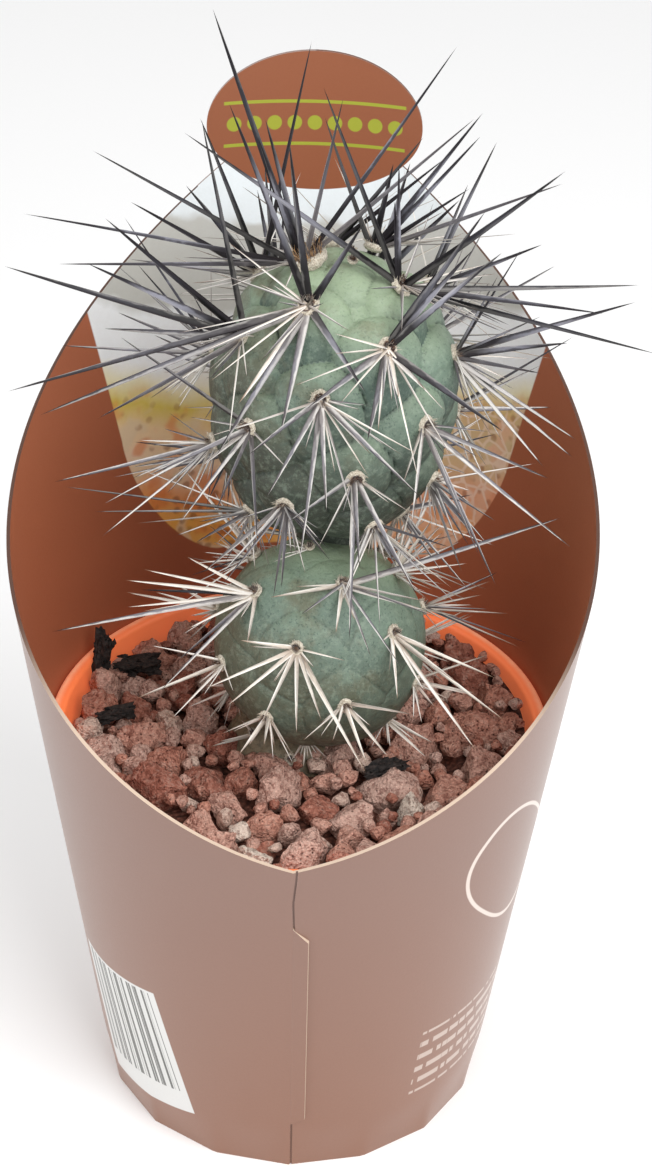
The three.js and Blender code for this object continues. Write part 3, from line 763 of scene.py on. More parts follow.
class SleeveSettings(bpy.types.PropertyGroup):
    card: amount("Card", "Thickness of the card, in millimetres", CARD, 0.3, 1.5)
    columns: count("Columns", "Faces round the sleeve", 216, 72, 360)
    rows: count("Rows", "Faces up the sleeve's wall", 48, 12, 96)
    outside: colour("Outside", "Print on the outer face", 127, 95, 82)
    outside_low: colour("Outside, low", "Print near the foot, which is warmer", 132, 87, 63)
    inside: colour("Inside", "Print on the inner face", 166, 95, 64)
    edge: colour("Cut edge", "Bare card at the cut edges", 204, 182, 162)
    # Darker tone that the cut edge takes towards the back
    edge_back: colour("Cut edge, back", "Cut edge towards the back, dulled by the print", 82, 54, 42)
    tag: colour("Tag", "Print on the oval tag", 138, 78, 46)
    lime: colour("Ornament", "Ornament on the tag", 152, 162, 40)
    ink: colour("Ink", "Pale ink of the outline and the dashes", 222, 208, 198)
    label: colour("Label", "White of the stripe label", 212, 212, 210)


def card_finish(name, printed, settings, rough=0.42, sheen=0.0, coat=0.12):
    """Printed card: a fine paper tooth under a thin satin varnish."""
    finish = Finish(name, roughness=rough, coat=coat, Coat_Roughness=0.35, Sheen_Weight=sheen,
                    Sheen_Roughness=0.4)
    place = finish.place()
    tooth = finish.noise(place, 0.35, detail=2)
    cloud = finish.noise(place, 14, detail=3)
    tone = finish.mix(cloud * 0.35, printed(finish, place, settings), (0.9, 0.86, 0.84), "MULTIPLY")
    finish.set("Base Color", finish.mix(tooth * 0.12, tone, (0.55, 0.5, 0.48), "MULTIPLY"))
    finish.set("Roughness", rough + 0.12 * tooth)
    finish.bump(tooth, 0.03, 0.35)
    return finish


def cone_places(finish, place):
    """Bearing from the front in degrees, height, and the place on the sheet laid flat."""
    x, y, z = finish.split(place)
    turn = x.math("ARCTAN2", y * -1)
    slant = math.hypot(1, FLARE)
    rho = (z + FOOT_RADIUS / FLARE) * slant
    phi = turn * (FLARE / slant)
    return turn * math.degrees(1), z, rho * phi.math("SINE"), rho * phi.math("COSINE")


def turned_place(across, along, shape):
    """The place seen from a shape's centre with its axes turned, and half the shape's width and height."""
    dx = across - shape.centre[0]
    dy = along - shape.centre[1]
    c, s = math.cos(math.radians(shape.angle)), math.sin(math.radians(shape.angle))
    return dx * c + dy * s, dy * c - dx * s, *shape.half


LABEL = SimpleNamespace(centre=(-31.6, 261.0), angle=16, half=(11.2, 14.0))
LOZENGE = SimpleNamespace(centre=(43.7, 297.7), angle=38, half=(9.9, 15.5))
DASHES = SimpleNamespace(centre=(34.6, 260.4), angle=-8, half=(12, 7.75))
DASH_PITCH = 3.1


def outside_print(finish, place, settings):
    """Mauve-brown outside, with a plain stripe label, an outlined lozenge and rows of dashes."""
    _, z, across, along = cone_places(finish, place)
    warm = finish.mix((z / 70).math("MINIMUM", 1), settings.outside_low, settings.outside)
    u, v, half_u, half_v = turned_place(across, along, LABEL)
    on_label = abs(u).below(half_u, 0.08) * abs(v).below(half_v, 0.08)
    stripes = (u * 3.3).math("SINE") + (u * 7.9 + 1).math("SINE") * 0.9 + (u * 17).math("SINE") * 0.4
    in_bars = abs(u).below(half_u - 1.5, 0.05) * v.above(-half_v + 5, 0.05) * v.below(half_v - 0.5, 0.05)
    label = finish.mix(stripes.above(0.1, 0.15) * in_bars, settings.label, linear(82, 82, 78))
    u, v, half_u, half_v = turned_place(across, along, LOZENGE)
    ring = ((abs(u) / half_u) ** 2.3 + (abs(v) / half_v) ** 2.6) ** 0.5
    outline = abs(ring - 1).below(0.04, 0.012)
    u, v, half_u, half_v = turned_place(across, along, DASHES)
    row = v / DASH_PITCH
    stroke = abs(row.math("FRACT") - 0.5).below(0.2, 0.03)
    place_in_row = finish.node("CombineXYZ", inputs={0: u, 1: row.math("FLOOR") * 9})
    dash = finish.noise(place_in_row, 1.5, detail=1).above(0.44, 0.02)
    dashes = stroke * dash * abs(u).below(half_u, 0.1) * abs(v).below(half_v, 0.05)
    cream = outline.math("MAXIMUM", dashes * 0.6)
    return finish.laid(warm, (on_label, label), (cream * 0.9, settings.ink))


def edge_print(finish, place, settings):
    """Cream cut edge in front, darker towards the back."""
    bearing = cone_places(finish, place)[0]
    return finish.mix(abs(bearing).above(60, 16), settings.edge, settings.edge_back)


def inside_print(finish, place, settings):
    """Brown inside, with a generic mottled panel at the back and the plain oval tag above it."""
    bearing, z, _, _ = cone_places(finish, place)
    x, y, _ = finish.split(place)
    # Panel round the back, a little right of the middle, narrower and rounded below
    right = x.above(0, 0.1) * 2 - 1
    off = abs((180 - abs(bearing)) * right - 2.5) - (z - 104).math("MAXIMUM", 0) * 0.19
    corner_x = (off - 23.3).math("MAXIMUM", 0)
    corner_z = (104 - z).math("MAXIMUM", 0)
    panel = ((corner_x / 22) ** 1.6 + (corner_z / 25) ** 1.6).below(1, 0.015)
    # Soft bands above, and a blurred ground of warm patches and dots below
    blur = finish.noise(place, 9, detail=3)
    level = z - (z * FLARE + FOOT_RADIUS - y) * 0.6 + (blur - 0.5) * 7 + 4
    height = finish.node("MapRange", inputs={"Value": level, "From Min": 76.0, "From Max": 148.0})
    bands = finish.ramp(
        height, (0.0, 232, 158, 104), (0.08, 246, 190, 100), (0.14, 250, 190, 92), (0.2, 248, 172, 108),
        (0.28, 250, 222, 190), (0.37, 250, 220, 172), (0.43, 226, 204, 96), (0.49, 242, 236, 200),
        (0.54, 244, 248, 250), (0.66, 240, 244, 246), (0.7, 190, 191, 185), (0.9, 194, 195, 190),
        (0.92, 230, 238, 242))
    on_ground = height.below(0.45, 0.05)
    patches = finish.noise(place, 7, detail=2)
    rosy = on_ground * x.above(6, 14)
    green = x.above(8, 10) * height.above(0.26, 0.05) * height.below(0.44, 0.05) * patches.above(0.46, 0.08)
    bend = finish.node("TexNoise", inputs={"Vector": place, "Scale": 0.3}, output="Color")
    bent = finish.node("VectorMath", {"operation": "ADD"}, {0: place, 1: bend})
    dots = finish.cells(bent, 2.3).below(0.3, 0.12) * on_ground * blur.above(0.5, 0.05)
    flecks = finish.cells(bent, 3.1, "DISTANCE_TO_EDGE").below(0.07, 0.05) * rosy
    hue = finish.laid(
        bands,
        (on_ground * patches.above(0.55, 0.06) * 0.6, (234, 128, 62)),
        (on_ground * patches.below(0.42, 0.05) * 0.7, (238, 218, 184)),
        (rosy * 0.65, finish.mix(blur, linear(206, 110, 74), linear(244, 196, 168))),
        (green * 0.6, (206, 200, 150)),
        (dots * 0.6, (150, 88, 56)),
        (flecks * 0.6, (246, 224, 204)))
    grain = finish.noise(place, 1.1, detail=3)
    hue = finish.mix(grain * 0.15, hue, (0.6, 0.52, 0.45), "MULTIPLY")
    # Oval tag with a plain ornament: a band of dots between two lines
    v = z - TAG_HEIGHT
    oval = (((x / TAG_HALF_WIDTH) ** 2 + (v / TAG_HALF_HEIGHT) ** 2) ** 0.5).below(1.0, 0.006)
    lines = abs(abs(v + 0.3) - 3.6).below(0.28, 0.05)
    beads = ((x / 3.4 + 0.5).math("FRACT") - 0.5) * 3.4
    dots = (beads ** 2 + (v + 0.3) ** 2).below(1.5, 0.25)
    ornament = lines.math("MAXIMUM", dots) * abs(x).below(15.3, 0.1)
    tag = finish.mix(ornament * 0.9, settings.tag, settings.lime)
    return finish.laid(settings.inside, (panel, hue), (oval, tag))


def top_edge(bearing):
    """Height of the sheet's top edge: the slanted mouth, with a strip left up for the tag."""
    behind = 180 - from_front(bearing)
    return np.where(behind < TAG_STRIP, TAG_HEIGHT + TAG_HALF_HEIGHT + 2, mouth_height(bearing))


def foot_crease(bearing, z):
    """The foot's flat facets, which fade out a little way up the wall."""
    facet = 360 / FOOT_FACETS
    offset = np.radians(bearing % facet - facet / 2)
    flat = math.cos(math.radians(facet / 2)) / np.cos(offset)
    fade = np.clip(1 - z / CREASE_HEIGHT, 0, 1)
    return 1 - (1 - flat) * fade


def tag_cutter(side):
    """Prism round one side of the oval tag, down to the mouth's edge."""
    top = TAG_HEIGHT + TAG_HALF_HEIGHT
    outline = [(0, top + 9)]
    for turn in np.linspace(90, TAG_NECK_ANGLE, 32):
        angle = math.radians(turn)
        outline.append((TAG_HALF_WIDTH * math.cos(angle), TAG_HEIGHT + TAG_HALF_HEIGHT * math.sin(angle)))
    for behind in (17, 18.5, 20, TAG_STRIP + 1.8):
        z = float(mouth_height(180 - behind)) + 0.05
        outline.append((sleeve_radius(z) * math.sin(math.radians(behind)), z))
    outline.append((outline[-1][0], top + 9))
    cutter = mesh_piece("cutter", [(side * x, 40, z) for x, z in outline], [range(len(outline))])
    extrusion = {"TRANSFORM_OT_translate": {"value": (0, 25 * MM, 0)}}
    return edit(cutter, (bpy.ops.mesh.extrude_region_move, extrusion), SELECT_ALL, FACE_OUT)


def seam_cutter():
    """Long thin bar that scores the open seam into the front of the wall."""
    bpy.ops.mesh.primitive_cube_add(size=1)
    bar = edit(added("seam"), (bpy.ops.mesh.subdivide, {"number_cuts": 15}))
    points = read_points(bar) * MM
    z = (points[:, 2] + 0.5) * (MOUTH_FRONT + 6) - 3
    x = np.interp(z, SEAM_HEIGHTS, SEAM_PLACES) + points[:, 0] * 0.34
    write_points(bar, np.column_stack([x, -sleeve_radius(z) - 0.6 + (points[:, 1] + 0.5) * 0.95, z]))
    return bar


def rolled_sheet(settings):
    """The flat blank as a grid, rolled into the cone and closed by its folded floor."""
    bpy.ops.mesh.primitive_grid_add(x_subdivisions=settings.columns, y_subdivisions=settings.rows, size=1)
    sheet = added("printed_sleeve")
    flat = read_points(sheet) * MM + 0.5
    bearing = flat[:, 0] * 360
    z = flat[:, 1] ** 0.9 * top_edge(bearing)
    radius = sleeve_radius(z) * foot_crease(bearing, z)
    write_points(sheet, np.column_stack([
        radius * np.sin(np.radians(bearing)), -radius * np.cos(np.radians(bearing)), z]))
    edit(sheet, (bpy.ops.mesh.remove_doubles, {"threshold": 1e-5}))
    return edit(
        sheet, (bpy.ops.mesh.edge_face_add, {}), SELECT_ALL, FACE_OUT, ends=lambda point: point.z < 1e-6)


def lock_tab(settings, finishes):
    """Flap of the left panel that laps over the seam and lifts towards its free edge."""
    bpy.ops.mesh.primitive_grid_add(x_subdivisions=20, y_subdivisions=40, size=1)
    tab = added("lock_tab")
    flat = read_points(tab) * MM + 0.5
    hinge, free = TAB_SIDES[0][0], TAB_SIDES[-1][0]
    x = hinge + (free - hinge) * flat[:, 0]
    places, lows, highs = zip(*TAB_SIDES)
    low, high = np.interp(x, places, lows), np.interp(x, places, highs)
    z = low + (high - low) * flat[:, 1]
    lift = np.interp(x, (hinge, 0, 0.4, free), (-0.3, -0.05, 0.1, TAB_PROUD))
    radius = sleeve_radius(z) + lift
    write_points(tab, np.column_stack([x, -np.sqrt(radius ** 2 - x ** 2), z]))
    thicken(tab, settings.card, finishes)
    return tab


def thicken(sheet, thickness, finishes):
    """Gives a sheet its card thickness inwards, with the cut edge as its own material."""
    for finish in finishes:
        sheet.data.materials.append(finish.material)
    modify(sheet, "SOLIDIFY", thickness=thickness * MM, offset=-1, use_even_offset=True,
           material_offset=1, material_offset_rim=2)


class CACTUS_OT_sleeve(bpy.types.Operator):
    """Roll the printed sleeve from its flat blank, with its lock tab, tag and seam"""
    bl_idname = "cactus.sleeve"
    bl_label = "Sleeve"

    def execute(self, context):
        settings = context.scene.cactus_sleeve
        finishes = (
            card_finish("card_outside", outside_print, settings, sheen=0.24, coat=0.3),
            card_finish("card_inside", inside_print, settings, 0.5),
            card_finish("card_edge", edge_print, settings, 0.8),
        )
        sheet = rolled_sheet(settings)
        thicken(sheet, settings.card, finishes)
        for cutter in (tag_cutter(-1), tag_cutter(1), seam_cutter()):
            cut(sheet, cutter)
        sleeve = joined("printed_sleeve", [sheet, lock_tab(settings, finishes)])
        smooth(sleeve, 30)
        finished(sleeve, "card", "cardboard_sleeve")
        return {"FINISHED"}


# Pot

class PotSettings(bpy.types.PropertyGroup):
    plastic: colour("Plastic", "Colour of the moulded pot", 255, 124, 64)
    # Pale tint of the rim's top: scuffs, and a painted highlight
    scuffs_and_highlight: colour("Scuffs", "Paler tone where the rim is scuffed", 255, 196, 160)


def pot_inner_radius(z):
    foot = POT_FOOT_RADIUS - POT_WALL + 0.3
    slope = (RIM_INNER_RADIUS - foot) / (RIM_TOP - POT_FLOOR - POT_WALL)
    return foot + slope * (z - POT_FLOOR - POT_WALL)


class CACTUS_OT_pot(bpy.types.Operator):
    """Turn the round plastic pot with its rolled rim and drill its drain holes"""
    bl_idname = "cactus.pot"
    bl_label = "Pot"

    def execute(self, context):
        settings = context.scene.cactus_pot
        under = RIM_TOP - RIM_HEIGHT
        outline = rounded([
            (0, POT_FLOOR), (POT_FOOT_RADIUS, POT_FLOOR),
            (pot_inner_radius(under) + POT_WALL, under), (RIM_RADIUS - 0.5, under + 0.2),
            (RIM_RADIUS, RIM_TOP), (RIM_INNER_RADIUS + 0.2, RIM_TOP),
            (pot_inner_radius(POT_FLOOR + POT_WALL), POT_FLOOR + POT_WALL), (0, POT_FLOOR + POT_WALL),
        ], 0.8)
        pot = turned(outline, 120, "orange_pot")
        for hole in range(DRAIN_HOLES):
            place = bearing_point(DRAIN_CIRCLE, 360 / DRAIN_HOLES * (hole + 0.5), POT_FLOOR) * MM
            bpy.ops.mesh.primitive_cylinder_add(
                vertices=24, radius=DRAIN_RADIUS * MM, depth=6 * MM, location=place)
            cut(pot, added("drill"))
        smooth(pot, 35)
        # Thin plastic lets some light through, which the faint glow of its own stands for
        finish = Finish("pot_plastic", roughness=0.34, coat=0.3, Specular_IOR_Level=0.5,
                        Emission_Color=linear(255, 140, 96), Emission_Strength=0.24)
        place = finish.place()
        dust = finish.noise(place, 2.4, detail=5, rough=0.7)
        x, y, z = finish.split(place)
        # Paler outer edge of the rim's top: partly scuffs, partly a painted highlight where the rounded lip
        # catches the light
        outer = (x ** 2 + y ** 2).above((RIM_RADIUS - 1.2) ** 2, 50)
        pale = z.above(RIM_TOP - 0.8, 0.5) * outer * (0.65 + 0.35 * dust.above(0.55, 0.15))
        finish.set("Base Color", finish.mix(pale, settings.plastic, settings.scuffs_and_highlight))
        finish.set("Roughness", 0.28 + 0.25 * dust)
        finish.bump(finish.noise(place, 0.5, detail=2), 0.02, 0.3)
        finished(pot, "pot_plastic", "plant_pot", finish)
        return {"FINISHED"}


# Gravel

class GravelSettings(bpy.types.PropertyGroup):
    seed: bpy.props.IntProperty(
        name="Seed", description="Another seed packs the stones another way", default=5)
    red: colour("Red lava", "Most of the stones", 226, 154, 129)
    rose: colour("Rose lava", "Paler stones", 240, 203, 187)
    cream: colour("Pumice", "The few whitish stones", 250, 236, 220)
    dust: colour("Dust", "Fine grains between the stones", 128, 82, 68)


# Sizes of the stones, large ones first: (radius, spread, how many are tried)
STONE_SIZES = ((4.8, 0.5, 50), (3.8, 0.4, 400), (2.8, 0.4, 1200), (1.9, 0.3, 2600), (1.2, 0.2, 4000))
# Sizes above this are large stones, which lie higher against the wall
LARGE_SIZE = 2
# Stones above this radius are each carved alone, the smaller ones are copies of a few plain shapes
CARVED_RADIUS = 2.7
SMALL_SHAPES = 12
# Places of the pale stones, and how pale each one is
PALE_STONES = (
    (16.1, -17.7, 1), (-17.5, -17.8, 0.6), (4, -30.9, 0.5), (11.2, -17.9, 0.55), (-3.8, -35.6, 1),
    (21.7, -22.8, 0.5), (-20.4, -9.6, 0.4), (-36.8, 5.5, 0.6), (27.6, 11.5, 0.6), (-13, -30, 0.8),
)


def bed_height(r):
    return BED_TOP - (BED_TOP - BED_EDGE) * (r / RIM_INNER_RADIUS) ** 2


def ball(subdivisions):
    """Points and faces of a unit ball of triangles."""
    bpy.ops.mesh.primitive_ico_sphere_add(subdivisions=subdivisions, radius=1)
    return template()


def carved(points, random, rough):
    """A weathered angular lump: a ball with flats knocked off it, and a crumbly skin."""
    points = points.copy()
    for _ in range(13):
        normal = np.array([between(random, -1, 1) for _ in range(3)])
        normal /= np.linalg.norm(normal)
        over = points @ normal - between(random, 0.55, 0.86)
        points -= np.outer(np.maximum(over, 0) * 0.95, normal)
    offset = Vector([between(random, 0, 50) for _ in range(3)])
    lumps = []
    for point in points:
        at = Vector(point) + offset
        lump = noise.noise(at * 2.1) * 0.16 + noise.noise(at * 5.3) * 0.11
        lumps.append(lump + noise.noise(at * 11) * 0.07)
    points *= (1 + rough * np.array(lumps))[:, None]
    return points * [between(random, 0.82, 1.22) for _ in range(3)]


def turn_matrix(random):
    angles = [between(random, 0, math.tau) for _ in range(3)]
    turn = Matrix.Rotation(angles[0], 3, "X") @ Matrix.Rotation(angles[1], 3, "Y")
    return np.array(turn @ Matrix.Rotation(angles[2], 3, "Z"))


# Stones may overlap until their middles are this share of their two radii apart
STONE_OVERLAP = 0.82


def packed_stones(random):
    """Places and radii of the top stones: large ones are thrown first, and none may overlap much."""
    placed = np.empty((0, 4))
    basal, lower = [obstacle(segment) for segment in (BASAL, LOWER)]
    for size, spread, tries in STONE_SIZES:
        large = size > LARGE_SIZE
        for _ in range(tries):
            radius = size + between(random, -spread, spread)
            reach = pot_inner_radius(BED_TOP) - radius * 0.9
            # Three large stones in ten are thrown right against the wall
            share = math.sqrt(random())
            r = reach * (share if random() > 0.3 or not large else max(share, 0.97))
            turn = between(random, 0, math.tau)
            x, y = r * math.cos(turn), r * math.sin(turn)
            # Heaped against the wall, more so on the right, but not over the rim
            heap = ((3.2 if large else 1.2) + max(x, 0) * 0.2) * (r / RIM_INNER_RADIUS) ** 6
            z = bed_height(r) + heap + between(random, -0.6, 1.2 if large else 1.6) - radius * 0.35
            z = min(z, RIM_TOP + 0.6 - radius * 0.9)
            spot = np.array([x, y, z])
            away = np.linalg.norm(placed[:, :3] - spot, axis=1)
            if np.any(away < (placed[:, 3] + radius) * STONE_OVERLAP):
                continue
            in_basal = sunk_in(spot[None], *basal, BASAL.tubercle * 0.6 - radius * 0.1)
            in_lower = sunk_in(spot[None], *lower, LOWER.tubercle * 0.6 + radius * 0.6)
            if not in_basal[0] and not in_lower[0]:
                placed = np.vstack([placed, [x, y, z, radius]])
    return placed


def lava_finish(settings):
    """Porous lava: a rough crust with pits, in a tone of its own for each stone, with painted shade in its
    pits and crevices.
    """
    finish = Finish("lava", roughness=0.92, Specular_IOR_Level=0.25)
    place = finish.place()
    crust = finish.noise(place, 1.0, detail=6, rough=0.7)
    pits = finish.cells(place, 0.75)
    crumbs = finish.cells(place, 0.5)
    grain = finish.noise(place, 0.22, detail=2)
    tone = finish.attribute("tone")
    pale = finish.attribute("pale")
    # Painted shade in the pits and in the crevices between crumbs, which the bump below sinks
    dark = pits.below(0.2, 0.1) * finish.noise(place, 2.2).above(0.5, 0.1) * (1 - pale * 0.75)
    crevice_shade = crumbs.above(0.4, 0.14) * (1 - pale * 0.8)
    body = finish.laid(
        settings.red,
        (tone, settings.rose),
        (tone.below(0.09, 0.08) * 0.5, (128, 68, 58)),
        (pale, settings.cream),
        (crust.above(0.57, 0.07) * 0.35, (236, 206, 190)),
        (crust.below(0.45, 0.06) * 0.6, (120, 66, 52)),
        (dark * 0.75, (58, 30, 24)),
        (crevice_shade * 0.2, (86, 46, 38)))
    finish.set("Base Color", finish.mix(grain * 0.42, body, (0.42, 0.35, 0.32), "MULTIPLY"))
    finish.bump(crust * 0.9 + pits.above(0.15, 0.25) * 0.5 + grain * 0.25 - crumbs * 0.5, 0.7, 1.0)
    return finish


def grain_bed(settings):
    """The rippled bed of fine grains that fills the pot and shows between the stones."""
    floor = POT_FLOOR + POT_WALL + 0.3
    wall = pot_inner_radius(GRAIN_LEVEL) - 0.5
    outline = [(0, floor), (pot_inner_radius(floor) - 0.5, floor)]
    outline += [(wall * share, GRAIN_LEVEL) for share in np.linspace(1, 0, BED_RINGS)]
    bed = turned(outline, 96, "gravel_bed")
    points = read_points(bed)
    x, y, z = points.T
    r = np.hypot(x, y)
    ripple = np.sin(x * 1.9) * np.cos(y * 2.3) + np.sin(x * 0.7 + 1)
    rise = (r / RIM_INNER_RADIUS) ** 8 * (2 + np.maximum(x, 0) * 0.12)
    z += (z > GRAIN_LEVEL - 0.01) * ((r < wall - 0.5) * ripple * 0.5 + rise)
    write_points(bed, points)
    smooth(bed, 60)
    dust = Finish("lava_dust", roughness=0.95, Specular_IOR_Level=0.2)
    grains = dust.cells(dust.place(), 0.9)
    # Darker away from each grain's middle: painted shade between the grains
    dust.set("Base Color", dust.mix(grains, settings.dust, linear(40, 24, 20)))
    dust.bump(grains, 0.6)
    finished(bed, "lava", "lava_gravel", dust)


class CACTUS_OT_gravel(bpy.types.Operator):
    """Fill the pot with a bed of grains and pack lava stones of five sizes on it"""
    bl_idname = "cactus.gravel"
    bl_label = "Gravel"

    def execute(self, context):
        settings = context.scene.cactus_gravel
        random = seeded_random(settings.seed)
        grain_bed(settings)
        stones = packed_stones(random)
        pale = np.zeros(len(stones))
        middling = abs(stones[:, 3] - 2.5) < 0.9
        for x, y, share in PALE_STONES:
            away = np.hypot(stones[:, 0] - x, stones[:, 1] - y) + 10 * ~middling
            pale[np.argmin(away)] = share
        fine, fine_faces = ball(4)
        plain_ball, plain_faces = ball(2)
        small = [carved(plain_ball, random, 0.8) for _ in range(SMALL_SHAPES)]
        finish = lava_finish(settings)
        for name, faces, carve in (("lava_stones", fine_faces, True), ("lava_grit", plain_faces, False)):
            clouds, tones, pales = [], [], []
            for (x, y, z, radius), whitish in zip(stones, pale):
                if (radius > CARVED_RADIUS) != carve:
                    continue
                points = carved(fine, random, 1) if carve else small[int(random() * SMALL_SHAPES)]
                clouds.append(points @ turn_matrix(random).T * radius + (x, y, z))
                tones.append(np.full(len(points), random() ** 1.6))
                pales.append(np.full(len(points), max(whitish, 0.6 * (random() > 0.95))))
            thing = smooth(copies(name, faces, clouds, {"tone": tones, "pale": pales}), 38)
            finished(thing, "lava", "lava_gravel", finish)
        return {"FINISHED"}


class CACTUS_OT_bark(bpy.types.Operator):
    """Carve the black bits of bark that lie on the stones"""
    bl_idname = "cactus.bark"
    bl_label = "Bark"

    def execute(self, context):
        random = seeded_random(BARK_SEED)
        noise.seed_set(BARK_NOISE_SEED)
        bits = []
        for x, y, length, width, lean, turn in BARK_BITS:
            bpy.ops.mesh.primitive_cube_add(size=1)
            chip = added("chip")
            edit(chip, (bpy.ops.mesh.subdivide, {"number_cuts": 11}))
            points = read_points(chip) * MM
            shift = Vector((between(random, 0, 40), 0, 0))
            for index, point in enumerate(points):
                at = Vector(point) * 2.4 + shift
                for finer, share in ((1, 0.38), (2.6, 0.26), (6, 0.1)):
                    points[index] += noise.noise_vector(at * finer) * share
            points *= (length, length * width, length * 0.26)
            lean = math.radians(lean)
            tilt = Matrix.Rotation(math.radians(turn), 3, "Z") @ Matrix.Rotation(-lean, 3, "Y")
            z = bed_height(math.hypot(x, y)) + 2.2 + length / 2 * math.sin(lean)
            write_points(chip, points @ np.array(tilt).T + (x, y, z))
            bits.append(chip)
        bark = smooth(joined("bark_bits", bits), 30)
        finish = Finish("bark", roughness=0.85)
        fibre = finish.noise(finish.place(), 0.8, detail=4)
        finish.set("Base Color", finish.ramp(fibre, (0.35, 16, 14, 14), (0.75, 62, 52, 48)))
        finish.bump(fibre, 0.5)
        finished(bark, "bark", "lava_gravel", finish)
        return {"FINISHED"}


# Stem segments

class StemSettings(bpy.types.PropertyGroup):
    skin: colour("Skin", "Blue-green of the flesh", 107, 126, 111)
    crown: colour("Crown", "Fresh green at the top", 148, 165, 136)
    # Teal at the foot of each tubercle: partly the skin's own colour, partly painted shade where it faces
    # down
    shade: colour("Creases", "Deep teal low on the tubercles", 55, 76, 68)
    # Painted shade low on a segment and towards its left, with the skin's darker tone there
    under: colour("Underside", "Darkest green, on the lower side of a segment", 42, 50, 41)
    cork: colour("Cork", "Dead brown skin of the oldest segment", 128, 110, 86)
    olive: colour("Olive", "Weathered patches", 104, 97, 72)
    speck: colour("Specks", "Fine dark dots", 44, 66, 58)
    crease: amount("Crease", "Depth of the line where two tubercles meet, in millimetres", 0.44, 0, 1.5)


# A tubercle is a shield round its areole: this far above it, below it, to each side and inwards
SHIELD = SimpleNamespace(above=6.4, below=13.5, side=8.8, deep=13)
# The larger, the sharper the crease where two tubercles meet
CREASE_SHARPNESS = 30


def tubercle_field(segment, points):
    """Height of the tubercles at each point, 0 to 1, and the lie of the nearest areole.

    Each tubercle is steep along its round top edge and runs out gently below its areole.
    """
    total = np.ones(len(points))
    best = np.zeros(len(points))
    second = np.zeros(len(points))
    below = np.zeros(len(points))
    for spot in areoles_of(segment):
        away = points - np.array(spot.local)
        across = away @ np.array(spot.local_side)
        up = away @ np.array(spot.local_up)
        size = min(1, 0.5 + 0.06 * spot.young)
        swell = min(1, 0.4 + 0.07 * spot.young)
        deep = (away @ np.array(spot.local_out)) / SHIELD.deep
        side = (across / (SHIELD.side * size)) ** 2 + deep ** 2
        top = np.sqrt(np.clip(1 - side - (up / (SHIELD.above * size)) ** 2, 0, 1))
        foot = np.clip(1 - side - (up / (SHIELD.below * size)) ** 2, 0, 1) ** 0.75
        height = np.where(up > 0, top, foot) * swell
        total += np.exp(CREASE_SHARPNESS * height) - 1
        ahead = height > best
        second = np.where(ahead, best, np.maximum(second, height))
        below = np.where(ahead, -up / (SHIELD.below * size), below)
        best = np.where(ahead, height, best)
    return np.log(total) / CREASE_SHARPNESS, best - second, below


def stem_body(segment, crease):
    unit, faces = ball(segment.levels)
    length = np.where(unit[:, 2] > 0, segment.half, segment.low)
    reach = unit * np.column_stack([np.full(len(unit), segment.radius)] * 2 + [length])
    height, gap, below = tubercle_field(segment, reach * (1 + segment.tubercle / segment.radius))
    line = np.exp(-(gap / 0.05) ** 2) * np.clip(height * 2, 0, 1)
    relief = segment.relief
    base = segment.tubercle * (1 - relief) * 0.8
    proud = base + segment.tubercle * relief * height - crease * relief * line
    wave = 0.12 * np.sin(reach[:, 0] * 0.9 + reach[:, 2] * 0.5) * np.cos(reach[:, 1] * 0.8)
    points = reach + unit * (proud + wave)[:, None]
    matrix = np.array(segment_frame(segment))
    body = mesh_piece(segment.name + "_stem", points @ matrix[:3, :3].T + matrix[:3, 3], faces)
    write_values(body, "line", line)
    write_values(body, "below", np.clip(below, -1, 1))
    write_values(body, "crown", unit[:, 2] * 0.5 + 0.5)
    return body


